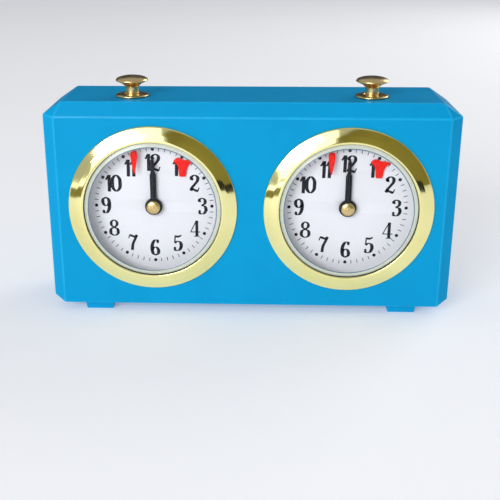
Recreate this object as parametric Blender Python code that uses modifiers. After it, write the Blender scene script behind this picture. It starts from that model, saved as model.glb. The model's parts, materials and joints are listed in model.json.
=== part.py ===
"""A mechanical chess clock: two lever movements in one plastic case, with a rocker between their buttons.

The case stands on four feet at z = 0, its dials face -Y and the winding keys point to +Y.
Pieces on a dial's axis share an empty whose local Z points out of the front, so a depth behind
the case front is a negative local Z there. Depths named *_FRONT and *_BACK are measured that way.
"""

import math

import bmesh
import bpy
from mathutils import Matrix, Vector

MM = 0.001
GAP = 0.3 * MM

# Case
CASE_WIDTH = 190 * MM
CASE_HEIGHT = 97.6 * MM
CASE_DEPTH = 45 * MM
WALL = 2.5 * MM
CHAMFER_DEPTH = 3.5 * MM
SIDE_CHAMFER = 5.4 * MM
TOP_CHAMFER = 6.6 * MM
TOP_CORNER = (8.9 * MM, 6.0 * MM)
BOTTOM_CORNER = (5.4 * MM, 2.9 * MM)
REAR_CHAMFER = 1.2 * MM
OPENING_RADIUS = 34.7 * MM

# Feet
FOOT_HEIGHT = 4 * MM
FOOT_X = 73 * MM
FOOT_INSET = 7 * MM
FOOT_WIDTH = 14 * MM
FOOT_LENGTH = 10 * MM
FOOT_TAPER = 0.92
FOOT_PEG_RADIUS = 2 * MM

# Back cover and its screws
COVER_FRONT = 42.4 * MM
COVER_BACK = 44.6 * MM
SCREW_X = 88.5 * MM
SCREW_LOW = 12 * MM
SCREW_HIGH = 82 * MM
BOSS_RADIUS = 4.5 * MM
SCREW_RADIUS = 1.4 * MM
SCREW_HEAD_RADIUS = 2.8 * MM
SCREW_HEAD_HEIGHT = 1.6 * MM
SCREW_LENGTH = 10 * MM

# Bezel, lens and dial
DIAL_X = 45.4 * MM
DIAL_HEIGHT = 47.9 * MM
BEZEL_RADIUS = 39.3 * MM
BEZEL_PROUD = 3.1 * MM
BEZEL_RIM = 0.9 * MM
LIP_RADIUS = 32.1 * MM
SKIRT_INNER = 33.3 * MM
SKIRT_OUTER = 34.4 * MM
LENS_RADIUS = 33.0 * MM
LENS_FLAT_RADIUS = 29.8 * MM
LENS_FRONT = -2.3 * MM
LENS_EDGE_FRONT = -1.5 * MM
LENS_BACK = -0.9 * MM
DIAL_RADIUS = 34.5 * MM
DIAL_FRONT = 5.5 * MM
DIAL_BACK = 6.3 * MM
DIAL_PIN_X = 25 * MM

# Hands, flag and running indicator
NUT_RADIUS = 3.15 * MM
NUT_FRONT = 1.0 * MM
NUT_BACK = 2.6 * MM
MINUTE_HAND_FRONT = 2.9 * MM
HOUR_HAND_FRONT = 3.9 * MM
HAND_THICKNESS = 0.5 * MM
MINUTE_HAND_LENGTH = 24.2 * MM
MINUTE_HAND_WIDTH = 1.8 * MM
MINUTE_HUB_RADIUS = 3.9 * MM
HOUR_HAND_LENGTH = 18.6 * MM
HOUR_HAND_WIDTH = 2.9 * MM
HOUR_HUB_RADIUS = 4.1 * MM
FLAG_PIVOT = (-8.3 * MM, 25.6 * MM)
FLAG_FRONT = 1.9 * MM
FLAG_LENGTH = 9 * MM
FLAG_WIDTH = 3.2 * MM
FLAG_ARBOR_RADIUS = 0.6 * MM
INDICATOR_FRONT = 4.6 * MM
INDICATOR_HEIGHT = 7.2 * MM
INDICATOR_LEFT = 3.9 * MM
INDICATOR_RIGHT = 5.0 * MM

# Movement plates
PLATE_HALF_WIDTH = 28 * MM
PLATE_HALF_HEIGHT = 32.5 * MM
PLATE_THICKNESS = 1.5 * MM
FRONT_PLATE_FRONT = 12 * MM
REAR_PLATE_FRONT = 28 * MM
PILLAR = (24.5 * MM, 29 * MM)
PILLAR_RADIUS = 1.8 * MM
POST_RADIUS = 2.2 * MM

# Wheel train: teeth and modules
WHEEL_TEETH = 24
PINION_TEETH = 6
MOTION_TEETH = 18
ESCAPE_TEETH = 15
GREAT_MODULE = 1.2 * MM
CENTRE_MODULE = 0.93 * MM
THIRD_MODULE = 0.8 * MM
CANNON_MODULE = 0.8 * MM
ESCAPE_RADIUS = 10 * MM
GREAT_ANGLE = -90
THIRD_ANGLE = 135
ESCAPE_ANGLE = 45
MOTION_ANGLE = -90
PALLET_AXIS = (13.7 * MM, 16.2 * MM)
BALANCE_AXIS = (21.5 * MM, 3.5 * MM)
BALANCE_RADIUS = 9 * MM
BALANCE_FRONT = 24.9 * MM
BALANCE_BACK = 26.1 * MM
CENTRE_ARBOR_RADIUS = 1.4 * MM
WINDING_RADIUS = 2.0 * MM
PIVOT_RADIUS = 0.8 * MM
STAFF_RADIUS = 1.2 * MM
STUD_RADIUS = 0.6 * MM
PALLET_ARBOR_RADIUS = 0.9 * MM
PIPE_RADIUS = 2.3 * MM
RUNNING_CLEARANCE = 0.4 * MM
SPRING_TURNS = 3
SPRING_STEPS = 14
SPRING_RADII = (4.5 * MM, 12.5 * MM)
SPRING_THICKNESS = 0.5 * MM
PALLET_SPREAD = 35
PALLET_REACH = 5.7 * MM
LEVER_REACH = 11 * MM
ARM_HALF_WIDTH = 0.7 * MM
BALANCE_RIM_SHARE = 0.84

# Where each layer of the train starts and ends behind the case front
HOUR_LAYER = (7.6 * MM, 8.8 * MM)
HOUR_PIPE_BACK = 8.2 * MM
MOTION_PINION_LAYER = (7.3 * MM, 10.2 * MM)
CANNON_LAYER = (9.4 * MM, 11 * MM)
MOTION_LAYER = (9.6 * MM, 10.8 * MM)
THIRD_PINION_LAYER = (14.1 * MM, 15.5 * MM)
CENTRE_LAYER = (14.3 * MM, 15.3 * MM)
CENTRE_PINION_LAYER = (16.1 * MM, 18.2 * MM)
GREAT_LAYER = (16.3 * MM, 18 * MM)
SPRING_LAYER = (19 * MM, 27 * MM)
ESCAPE_PINION_LAYER = (19.3 * MM, 20.7 * MM)
THIRD_LAYER = (19.5 * MM, 20.5 * MM)
ESCAPE_LAYER = (23 * MM, 24 * MM)

# Keys and knobs on the back
KEY_REACH = 10 * MM
ARBOR_END = 50 * MM
KEY_HALF_SPAN = 10.6 * MM
KEY_WING_RADIUS = 4.5 * MM
KEY_WING_FLATTEN = 0.55
KEY_HUB_RADIUS = 4 * MM
KEY_HUB_LENGTH = 5 * MM
KEY_NECK_RADIUS = 2.6 * MM
KNOB_RADIUS = 6.8 * MM
KNOB_RIBS = 12
KNOB_LENGTH = 6 * MM
KNOB_GROOVE_SHARE = 0.92

# Buttons and rocker: heights above the case's underside
BUTTON_X = 55.3 * MM
BUTTON_DEPTH = 17 * MM
BUTTON_TRAVEL = 3 * MM
CAP_RADIUS = 7.5 * MM
CAP_HEIGHT = 9.6 * MM
COLLAR_HEIGHT = 1 * MM
STEM_RADIUS = 3.1 * MM
STEM_FOOT = 86 * MM
BUSH_FLANGE_RADIUS = 7.7 * MM
BUSH_RADIUS = 4.0 * MM
BUSH_BOTTOM = 92.6 * MM
ROCKER_TOP = 85.6 * MM
ROCKER_THICKNESS = 4 * MM
ROCKER_FRONT = 14.5 * MM
ROCKER_BACK = 26 * MM
ROCKER_LEFT = -60 * MM
ROCKER_RIGHT = 67 * MM
BRAKE_OFFSET = 19.5 * MM
BRAKE_WIDTH = 2 * MM
BRAKE_DEPTH = 1.2 * MM
BRACKET_REACH = 4 * MM
CHEEK_THICKNESS = 1.5 * MM
ROCKER_PIN_RADIUS = 1.2 * MM

# Where the case front plane lies, so that the whole clock is centred on the origin
FRONT_Y = (BEZEL_PROUD - CASE_DEPTH - KEY_REACH) / 2

BLUE = ((0.0, 0.30, 0.72), 0.0, 0.35)
GOLD = ((0.90, 0.74, 0.28), 1.0, 0.12)
BRASS = ((0.72, 0.50, 0.18), 1.0, 0.30)
STEEL = ((0.56, 0.57, 0.58), 1.0, 0.30)
BLACK = ((0.008, 0.010, 0.016), 0.0, 0.45)
RED = ((0.85, 0.02, 0.01), 0.0, 0.40)
WHITE = ((0.82, 0.83, 0.87), 0.0, 0.50)
GLASS = ((0.90, 0.95, 0.93), 0.0, 0.03)

FINE = 36
MEDIUM = 16
COARSE = 8


def clear_scene():
    for existing in list(bpy.data.objects):
        bpy.data.objects.remove(existing, do_unlink=True)


def new_collection(name):
    collection = bpy.data.collections.new(name)
    bpy.context.scene.collection.children.link(collection)
    return collection


clear_scene()
PARTS = new_collection("chess_clock")
TOOLS = new_collection("cutters")


def finish(piece, look):
    """Gives a piece its own material and puts it among the clock's parts."""
    colour, metallic, roughness = look
    material = bpy.data.materials.new(piece.name)
    material.use_nodes = True
    shader = material.node_tree.nodes["Principled BSDF"]
    shader.inputs["Base Color"].default_value = (*colour, 1.0)
    shader.inputs["Metallic"].default_value = metallic
    shader.inputs["Roughness"].default_value = roughness
    if look is GLASS:
        shader.inputs["Transmission Weight"].default_value = 1.0
    piece.data.materials.append(material)
    TOOLS.objects.unlink(piece)
    PARTS.objects.link(piece)
    piece.hide_render = False
    piece.display_type = "TEXTURED"
    return piece


def new_piece(name, mesh, parent=None, at=(0, 0, 0)):
    """A mesh as an object. It is a tool for cutting or joining until finish() makes it a part."""
    mesh.shade_smooth()
    mesh.set_sharp_from_angle(angle=math.radians(35))
    piece = bpy.data.objects.new(name, mesh)
    piece.hide_render = True
    piece.display_type = "WIRE"
    piece.location = at
    piece.parent = parent
    TOOLS.objects.link(piece)
    return piece


def new_empty(name, at, turned_to_front=False, parent=None):
    """An axis that pieces hang on; turned to the front, its local Z points to -Y and local Y up."""
    empty = bpy.data.objects.new(name, None)
    empty.empty_display_size = 5 * MM
    empty.location = at
    if turned_to_front:
        empty.rotation_euler = (math.radians(90), 0, 0)
    empty.parent = parent
    PARTS.objects.link(empty)
    return empty


def mesh_from(build):
    """A mesh filled by a function of a bmesh."""
    shape = bmesh.new()
    build(shape)
    mesh = bpy.data.meshes.new("shape")
    shape.to_mesh(mesh)
    shape.free()
    return mesh


def box(name, low, high, parent=None):
    """A box between two corners."""
    low, high = Vector(low), Vector(high)
    place = Matrix.Translation((low + high) / 2) @ Matrix.Diagonal((*(high - low), 1))
    mesh = mesh_from(lambda shape: bmesh.ops.create_cube(shape, size=1, matrix=place))
    return new_piece(name, mesh, parent)


def rod(name, radius, start, end, parent=None, at=(0, 0), sides=COARSE):
    """A round bar along local Z between two heights."""
    place = Matrix.Translation((at[0], at[1], (start + end) / 2))

    def build(shape):
        bmesh.ops.create_cone(
            shape,
            cap_ends=True,
            segments=sides,
            radius1=radius,
            radius2=radius,
            depth=abs(end - start),
            matrix=place,
        )

    return new_piece(name, mesh_from(build), parent)


def turned(name, profile, parent=None, at=(0, 0, 0), sides=MEDIUM, ring=False):
    """A piece turned about local Z. Its profile of (radius, height) runs down the outer side."""

    def build(shape):
        points = [shape.verts.new((radius, 0, height)) for radius, height in profile]
        for first, second in zip(points, points[1:]):
            shape.edges.new((first, second))
        if ring:
            shape.edges.new((points[-1], points[0]))

    piece = new_piece(name, mesh_from(build), parent, at)
    spin = piece.modifiers.new("turn", "SCREW")
    spin.angle = math.tau
    spin.steps = sides
    spin.render_steps = sides
    spin.use_merge_vertices = True
    spin.merge_threshold = 0.00001
    spin.use_smooth_shade = True
    return piece


def stepped(steps):
    """The profile of an arbor from its (radius, front depth, back depth) steps."""
    profile = [(0, -steps[0][1])]
    for radius, front, back in steps:
        profile += [(radius, -front), (radius, -back)]
    return profile + [(0, -steps[-1][2])]


def plate(name, outline, front, back, parent=None, holes=()):
    """A flat outline in local X and Y, between two depths, with round holes of (x, y, radius)."""
    curve = bpy.data.curves.new(name, "CURVE")
    curve.dimensions = "2D"
    curve.fill_mode = "BOTH"
    curve.extrude = abs(back - front) / 2
    circles = [circle(radius, COARSE, (x, y)) for x, y, radius in holes]
    for points in [outline, *circles]:
        spline = curve.splines.new("POLY")
        spline.points.add(len(points) - 1)
        for point, (x, y) in zip(spline.points, points):
            point.co = (x, y, 0, 1)
        spline.use_cyclic_u = True
    flat = bpy.data.objects.new(name, curve)
    TOOLS.objects.link(flat)
    bpy.context.view_layer.update()
    mesh = bpy.data.meshes.new_from_object(flat.evaluated_get(bpy.context.evaluated_depsgraph_get()))
    bpy.data.objects.remove(flat)
    shape = bmesh.new()
    shape.from_mesh(mesh)
    bmesh.ops.remove_doubles(shape, verts=shape.verts, dist=0.000001)
    bmesh.ops.dissolve_limit(shape, angle_limit=math.radians(1), verts=shape.verts, edges=shape.edges)
    bmesh.ops.recalc_face_normals(shape, faces=shape.faces)
    bmesh.ops.translate(shape, verts=shape.verts, vec=(0, 0, -(front + back) / 2))
    shape.to_mesh(mesh)
    shape.free()
    return new_piece(name, mesh, parent)


def combine(piece, others, operation="UNION"):
    """Joins other pieces to one, or cuts them out of it."""
    for other in others:
        change = piece.modifiers.new(other.name, "BOOLEAN")
        change.operation = operation
        change.object = other
        change.solver = "EXACT"
    return piece


def cut(piece, others):
    return combine(piece, others, "DIFFERENCE")


def polar(radius, degrees, centre=(0, 0)):
    angle = math.radians(degrees)
    return (centre[0] + radius * math.cos(angle), centre[1] + radius * math.sin(angle))


def circle(radius, sides, centre=(0, 0), start=0, sweep=360):
    """Points round a circle, or along an arc of it when the sweep is less than a full turn."""
    count = sides if sweep == 360 else sides + 1
    return [polar(radius, start + sweep * step / sides, centre) for step in range(count)]


def gear(teeth, module, phase):
    """Outline of a wheel with slim straight-sided teeth; phase is where the first tooth points."""
    pitch = 360 / teeth
    root = module * (teeth / 2 - 1.1)
    tip = module * (teeth / 2 + 0.8)
    corners = ((-0.27, root), (-0.11, tip), (0.11, tip), (0.27, root))
    return [polar(radius, phase + (tooth + part) * pitch) for tooth in range(teeth) for part, radius in corners]


def meshing_phase(driver_teeth, driver_phase, direction, driven_teeth):
    """Where the driven wheel's first tooth points, so that a gap meets the driver's tooth."""
    share = (driver_phase - direction) / (360 / driver_teeth)
    return direction + 180 + (0.5 - share) * 360 / driven_teeth


def case_section(inset):
    """The case's eight-cornered outline in X and Z, moved inwards."""
    half = CASE_WIDTH / 2 - inset
    low = FOOT_HEIGHT + inset
    high = FOOT_HEIGHT + CASE_HEIGHT - inset
    right = [
        (half - BOTTOM_CORNER[0], low),
        (half, low + BOTTOM_CORNER[1]),
        (half, high - TOP_CORNER[1]),
        (half - TOP_CORNER[0], high),
    ]
    return right + [(-x, z) for x, z in reversed(right)]


def case_face(inset):
    """The flat front between the chamfers, in X and Z."""
    half = CASE_WIDTH / 2 - inset - SIDE_CHAMFER
    low = FOOT_HEIGHT + inset
    high = FOOT_HEIGHT + CASE_HEIGHT - inset - TOP_CHAMFER
    return [(half, low), (half, high), (-half, high), (-half, low)]


def case_solid(name, inset, front, back, rear_chamfer):
    """The case's chamfered block, as the hull of its sections from front to back."""
    sections = [
        (case_face(inset), front),
        (case_section(inset), front + CHAMFER_DEPTH),
        (case_section(inset), back - rear_chamfer),
        (case_section(inset + rear_chamfer), back),
    ]

    def build(shape):
        for outline, depth in sections:
            for x, z in outline:
                shape.verts.new((x, FRONT_Y + depth, z))
        bmesh.ops.remove_doubles(shape, verts=shape.verts, dist=0.000001)
        bmesh.ops.convex_hull(shape, input=shape.verts)
        bmesh.ops.dissolve_limit(shape, angle_limit=math.radians(1), verts=shape.verts, edges=shape.edges)
        bmesh.ops.recalc_face_normals(shape, faces=shape.faces)

    return new_piece(name, mesh_from(build))


def dial_centre(side):
    return (side * DIAL_X, FRONT_Y, FOOT_HEIGHT + DIAL_HEIGHT)


def screw_places():
    return [(x, FOOT_HEIGHT + z) for x in (-SCREW_X, SCREW_X) for z in (SCREW_LOW, SCREW_HIGH)]


def foot_places():
    depths = (("front", FOOT_INSET), ("rear", CASE_DEPTH - FOOT_INSET))
    sides = (("left", -FOOT_X), ("right", FOOT_X))
    return [(f"foot_{end}_{side}", x, FRONT_Y + depth) for end, depth in depths for side, x in sides]


def make_case():
    """The moulded shell, open at the back, with screw bosses and posts for the movements."""
    shell = case_solid("case_shell", 0, 0, CASE_DEPTH, REAR_CHAMFER)
    cavity = case_solid("case_cavity", WALL, WALL, CASE_DEPTH + WALL, 0)
    cut(shell, [cavity])
    whole_case = new_empty("case_front", (0, FRONT_Y, 0), True)
    for number, place in enumerate(screw_places()):
        boss = rod(f"boss_{number}", BOSS_RADIUS, -WALL / 2, GAP - COVER_FRONT, whole_case, place)
        thread = rod(
            f"boss_hole_{number}",
            SCREW_RADIUS + GAP,
            -COVER_FRONT - WALL,
            SCREW_LENGTH - COVER_FRONT,
            whole_case,
            place,
        )
        combine(shell, [boss])
        cut(shell, [thread])
    for side in (-1, 1):
        centre = (side * DIAL_X, FOOT_HEIGHT + DIAL_HEIGHT)
        for x, y in [(a * PILLAR[0], b * PILLAR[1]) for a in (-1, 1) for b in (-1, 1)]:
            place = (centre[0] + x, centre[1] + y)
            post = rod("post", POST_RADIUS, -WALL / 2, GAP - FRONT_PLATE_FRONT, whole_case, place)
            combine(shell, [post])
        opening = rod("opening", OPENING_RADIUS, -2 * WALL, WALL, whole_case, centre, FINE)
        cut(shell, [opening])
        bush_hole = rod(
            "bush_hole",
            BUSH_RADIUS + GAP,
            FOOT_HEIGHT + CASE_HEIGHT - 2 * WALL,
            FOOT_HEIGHT + CASE_HEIGHT + WALL,
            None,
            (side * BUTTON_X, FRONT_Y + BUTTON_DEPTH),
            MEDIUM,
        )
        cut(shell, [bush_hole])
    for name, x, y in foot_places():
        peg_hole = rod(name + "_hole", FOOT_PEG_RADIUS + GAP, 0, FOOT_HEIGHT + 2 * WALL, None, (x, y))
        cut(shell, [peg_hole])
    finish(shell, BLUE)


def make_feet():
    """Tapered feet, each with a peg that plugs into the case floor."""
    top = FOOT_HEIGHT - GAP
    for name, x, y in foot_places():
        corner = math.sqrt(2) / 2
        place = Matrix.Translation((x, y, top / 2)) @ Matrix.Diagonal((FOOT_WIDTH, FOOT_LENGTH, 1, 1))

        def build(shape, place=place, corner=corner):
            bmesh.ops.create_cone(
                shape,
                cap_ends=True,
                segments=4,
                radius1=corner * FOOT_TAPER,
                radius2=corner,
                depth=top,
                matrix=place @ Matrix.Rotation(math.radians(45), 4, "Z"),
            )

        foot = new_piece(name, mesh_from(build))
        peg = rod(name + "_peg", FOOT_PEG_RADIUS, top / 2, FOOT_HEIGHT + WALL - GAP, None, (x, y))
        finish(combine(foot, [peg]), BLUE)


def make_back_cover():
    """The flat cover let into the back, and its four screws."""
    holes = [(x, z, SCREW_RADIUS + RUNNING_CLEARANCE) for x, z in screw_places()]
    for side in (-1, 1):
        centre = (side * DIAL_X, FOOT_HEIGHT + DIAL_HEIGHT)
        winding = polar(GREAT_MODULE * (WHEEL_TEETH + PINION_TEETH) / 2, GREAT_ANGLE, centre)
        holes.append((*centre, CENTRE_ARBOR_RADIUS + 3 * GAP))
        holes.append((*winding, WINDING_RADIUS + 3 * GAP))
    case_back = new_empty("case_back", (0, FRONT_Y, 0), True)
    cover = plate("back_cover", case_section(WALL + GAP), COVER_FRONT, COVER_BACK, case_back, holes)
    finish(cover, BLUE)
    head = COVER_BACK + GAP
    for (x, z), place in zip(screw_places(), ("left_low", "left_high", "right_low", "right_high")):
        crown = head + SCREW_HEAD_HEIGHT
        profile = [
            (0, head - SCREW_LENGTH),
            (SCREW_RADIUS, head - SCREW_LENGTH),
            (SCREW_RADIUS, head),
            (SCREW_HEAD_RADIUS, head),
            (SCREW_HEAD_RADIUS, head + SCREW_HEAD_HEIGHT / 2),
            (SCREW_HEAD_RADIUS * 0.7, crown),
            (0, crown),
        ]
        upright = [(radius, -depth) for radius, depth in profile]
        screw = turned(f"back_screw_{place}", upright, case_back, (x, z, 0), COARSE)
        slot = box(
            f"slot_{place}",
            (x - SCREW_HEAD_RADIUS, z - SCREW_RADIUS / 4, -crown - GAP),
            (x + SCREW_HEAD_RADIUS, z + SCREW_RADIUS / 4, -crown + SCREW_HEAD_HEIGHT / 2),
            case_back,
        )
        finish(cut(screw, [slot]), STEEL)


def make_front(side, name, axis):
    """Bezel, lens and dial on one dial's axis."""
    bezel = [
        (LIP_RADIUS + GAP, BEZEL_PROUD),
        (LIP_RADIUS + 4 * GAP, BEZEL_PROUD),
        ((BEZEL_RADIUS + LIP_RADIUS) / 2, BEZEL_PROUD * 0.72),
        (BEZEL_RADIUS, BEZEL_RIM),
        (BEZEL_RADIUS, GAP),
        (SKIRT_OUTER, GAP),
        (SKIRT_OUTER, GAP - DIAL_FRONT),
        (SKIRT_INNER, GAP - DIAL_FRONT),
        (SKIRT_INNER, GAP - LENS_FRONT),
        (LIP_RADIUS, GAP - LENS_FRONT),
    ]
    finish(turned(f"{name}_bezel", bezel, axis, sides=FINE, ring=True), GOLD)
    lens = [
        (0, -LENS_FRONT),
        (LENS_FLAT_RADIUS, -LENS_FRONT),
        (LENS_RADIUS, -LENS_EDGE_FRONT),
        (LENS_RADIUS, -LENS_BACK),
        (0, -LENS_BACK),
    ]
    finish(turned(f"{name}_lens", lens, axis, sides=FINE), GLASS)
    holes = [
        (0, 0, PIPE_RADIUS + 2 * GAP),
        (*FLAG_PIVOT, FLAG_ARBOR_RADIUS + GAP),
        (*PALLET_AXIS, PALLET_ARBOR_RADIUS + RUNNING_CLEARANCE),
    ]
    dial = plate(f"{name}_dial", circle(DIAL_RADIUS, FINE), DIAL_FRONT, DIAL_BACK, axis, holes)
    pin_start = (DIAL_FRONT + DIAL_BACK) / 2
    for x in (-DIAL_PIN_X, DIAL_PIN_X):
        pin = rod(f"{name}_dial_pin", PIVOT_RADIUS, -pin_start, GAP - FRONT_PLATE_FRONT, axis, (x, 0))
        combine(dial, [pin])
    finish(dial, WHITE)


def hand(name, axis, front, length, width, hub, bore, look):
    """A hand pointing up: a round hub and a straight blade with a pointed tip."""
    half = width / 2
    join = math.degrees(math.acos(half / hub))
    outline = circle(hub, COARSE, (0, 0), 180 - join, 180 + 2 * join)
    shoulder = length - width
    outline += [(half, shoulder), (half / 4, length), (-half / 4, length), (-half, shoulder)]
    return finish(plate(name, outline, front, front + HAND_THICKNESS, axis, [(0, 0, bore)]), look)


def make_hands(name, centre, hours):
    """Hour and minute hand, and the domed nut that holds them."""
    pipe_bore = PIPE_RADIUS + GAP
    arbor_bore = CENTRE_ARBOR_RADIUS + GAP
    hand(
        f"{name}_hour_hand",
        hours,
        HOUR_HAND_FRONT,
        HOUR_HAND_LENGTH,
        HOUR_HAND_WIDTH,
        HOUR_HUB_RADIUS,
        pipe_bore,
        BLACK,
    )
    hand(
        f"{name}_minute_hand",
        centre,
        MINUTE_HAND_FRONT,
        MINUTE_HAND_LENGTH,
        MINUTE_HAND_WIDTH,
        MINUTE_HUB_RADIUS,
        arbor_bore,
        BLACK,
    )
    dome = circle(NUT_RADIUS, 5, (0, 0), 90, -90)
    rise = (NUT_BACK - NUT_FRONT) / NUT_RADIUS * 0.6
    shoulder = -NUT_BACK + (NUT_BACK - NUT_FRONT) * 0.4
    profile = [(max(x, 0), shoulder + y * rise) for x, y in dome]
    profile += [(NUT_RADIUS, -NUT_BACK), (0, -NUT_BACK)]
    nut = turned(f"{name}_hand_nut", profile, centre)
    bore = rod(f"{name}_nut_bore", arbor_bore, -NUT_BACK - GAP, -NUT_FRONT - 2 * GAP, centre)
    finish(cut(nut, [bore]), BRASS)


def make_flag(name, axis):
    """The flag that the minute hand lifts, on an arbor through the dial."""
    half = FLAG_WIDTH / 2
    outline = circle(half, 6, (0, 0), 0, 180) + [(-half, -FLAG_LENGTH / 2), (-half / 4, -FLAG_LENGTH)]
    outline += [(half / 4, -FLAG_LENGTH), (half, -FLAG_LENGTH / 2)]
    flag = plate(f"{name}_flag", outline, FLAG_FRONT, FLAG_FRONT + HAND_THICKNESS, axis)
    head = 2 * FLAG_ARBOR_RADIUS
    steps = [
        (FLAG_ARBOR_RADIUS, FLAG_FRONT + HAND_THICKNESS / 2, DIAL_BACK + GAP),
        (head, DIAL_BACK + GAP, DIAL_BACK + 3 * GAP),
    ]
    arbor = turned(f"{name}_flag_arbor", stepped(steps), axis, sides=COARSE)
    finish(combine(flag, [arbor]), RED)


def make_indicator(name, axis):
    """The funnel-shaped indicator that rocks with the pallets."""
    stem = PALLET_ARBOR_RADIUS + 3 * GAP
    top = INDICATOR_HEIGHT
    outline = circle(stem, COARSE, (0, 0), 150, 240)
    outline += [
        (stem * 1.2, top * 0.42),
        (INDICATOR_RIGHT, top * 0.72),
        (INDICATOR_RIGHT * 0.94, top * 0.88),
        (INDICATOR_RIGHT * 0.4, top * 0.93),
        (0, top * 0.9),
        (-INDICATOR_LEFT * 0.6, top),
        (-INDICATOR_LEFT, top * 0.93),
        (-INDICATOR_LEFT * 0.9, top * 0.76),
        (-stem * 1.2, top * 0.42),
    ]
    bore = [(0, 0, PALLET_ARBOR_RADIUS + GAP)]
    back = INDICATOR_FRONT + HAND_THICKNESS
    finish(plate(f"{name}_running_indicator", outline, INDICATOR_FRONT, back, axis, bore), RED)


def make_plates(name, axis, places):
    """Front and rear movement plates, with pivot holes, the motion-work stud and four pillars."""
    outline = [
        (x * PLATE_HALF_WIDTH, y * PLATE_HALF_HEIGHT) for x, y in ((1, -1), (1, 1), (-1, 1), (-1, -1))
    ]
    small = PIVOT_RADIUS + GAP
    shared = [
        (0, 0, CENTRE_ARBOR_RADIUS + RUNNING_CLEARANCE),
        (*places["great"], WINDING_RADIUS + RUNNING_CLEARANCE),
        (*places["third"], small),
        (*places["escape"], small),
        (*PALLET_AXIS, PALLET_ARBOR_RADIUS + RUNNING_CLEARANCE),
        (*BALANCE_AXIS, small),
    ]
    front_back = FRONT_PLATE_FRONT + PLATE_THICKNESS
    front = plate(f"{name}_front_plate", outline, FRONT_PLATE_FRONT, front_back, axis, shared)
    stud = rod(
        f"{name}_stud",
        STUD_RADIUS,
        -FRONT_PLATE_FRONT - PLATE_THICKNESS / 2,
        -DIAL_BACK - 3 * GAP,
        axis,
        places["motion"],
    )
    finish(combine(front, [stud]), BRASS)
    rear_back = REAR_PLATE_FRONT + PLATE_THICKNESS
    rear = plate(f"{name}_rear_plate", outline, REAR_PLATE_FRONT, rear_back, axis, shared)
    for x, y in [(a * PILLAR[0], b * PILLAR[1]) for a in (-1, 1) for b in (-1, 1)]:
        pillar_end = REAR_PLATE_FRONT + PLATE_THICKNESS / 2
        pillar = rod(f"{name}_pillar", PILLAR_RADIUS, -pillar_end, -front_back - GAP, axis, (x, y))
        combine(rear, [pillar])
    finish(rear, BRASS)


def make_power(name, great, key, phase):
    """Great wheel, winding arbor, open mainspring and wing key."""
    wheel = plate(
        f"{name}_great_wheel",
        gear(WHEEL_TEETH, GREAT_MODULE, phase),
        *GREAT_LAYER,
        great,
        [(0, 0, WINDING_RADIUS + 3 * GAP)],
    )
    finish(wheel, BRASS)
    steps = [
        (WINDING_RADIUS, FRONT_PLATE_FRONT + GAP, FRONT_PLATE_FRONT + PLATE_THICKNESS + GAP),
        (WINDING_RADIUS + GAP, FRONT_PLATE_FRONT + PLATE_THICKNESS + GAP, REAR_PLATE_FRONT - GAP),
        (WINDING_RADIUS, REAR_PLATE_FRONT - GAP, ARBOR_END),
    ]
    finish(turned(f"{name}_winding_arbor", stepped(steps), key, sides=COARSE), STEEL)

    def spiral(shape):
        inner, outer = SPRING_RADII
        last = None
        for step in range(SPRING_TURNS * SPRING_STEPS + 1):
            share = step / (SPRING_TURNS * SPRING_STEPS)
            x, y = polar(inner + (outer - inner) * share, 360 * step / SPRING_STEPS)
            pair = [shape.verts.new((x, y, -depth)) for depth in SPRING_LAYER]
            if last:
                shape.faces.new((last[0], last[1], pair[1], pair[0]))
            last = pair

    spring = new_piece(f"{name}_mainspring", mesh_from(spiral), great)
    thickness = spring.modifiers.new("strip", "SOLIDIFY")
    thickness.thickness = SPRING_THICKNESS
    thickness.offset = 0
    finish(spring, STEEL)

    hub_front = CASE_DEPTH + 2 * GAP
    hub_back = hub_front + KEY_HUB_LENGTH
    key_back = CASE_DEPTH + KEY_REACH
    steps = [(KEY_HUB_RADIUS, hub_front, hub_back), (KEY_NECK_RADIUS, hub_back, key_back - MM)]
    hub = turned(f"{name}_winding_key", stepped(steps), key, sides=MEDIUM)
    wing = KEY_WING_RADIUS
    outline = circle(wing, 8, (KEY_HALF_SPAN - wing, 0), -110, 220)
    outline += circle(wing, 8, (wing - KEY_HALF_SPAN, 0), 70, 220)
    span = [(x, (y - wing) * KEY_WING_FLATTEN) for x, y in outline]
    blade = plate(f"{name}_key_wings", span, -MM, MM, key)
    blade.rotation_euler = (math.radians(-90), 0, 0)
    blade.location = (0, 0, -key_back)
    combine(hub, [blade])
    bore = rod(f"{name}_key_bore", WINDING_RADIUS + GAP, -ARBOR_END - GAP, -hub_front + GAP, key)
    finish(cut(hub, [bore]), BRASS)


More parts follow.
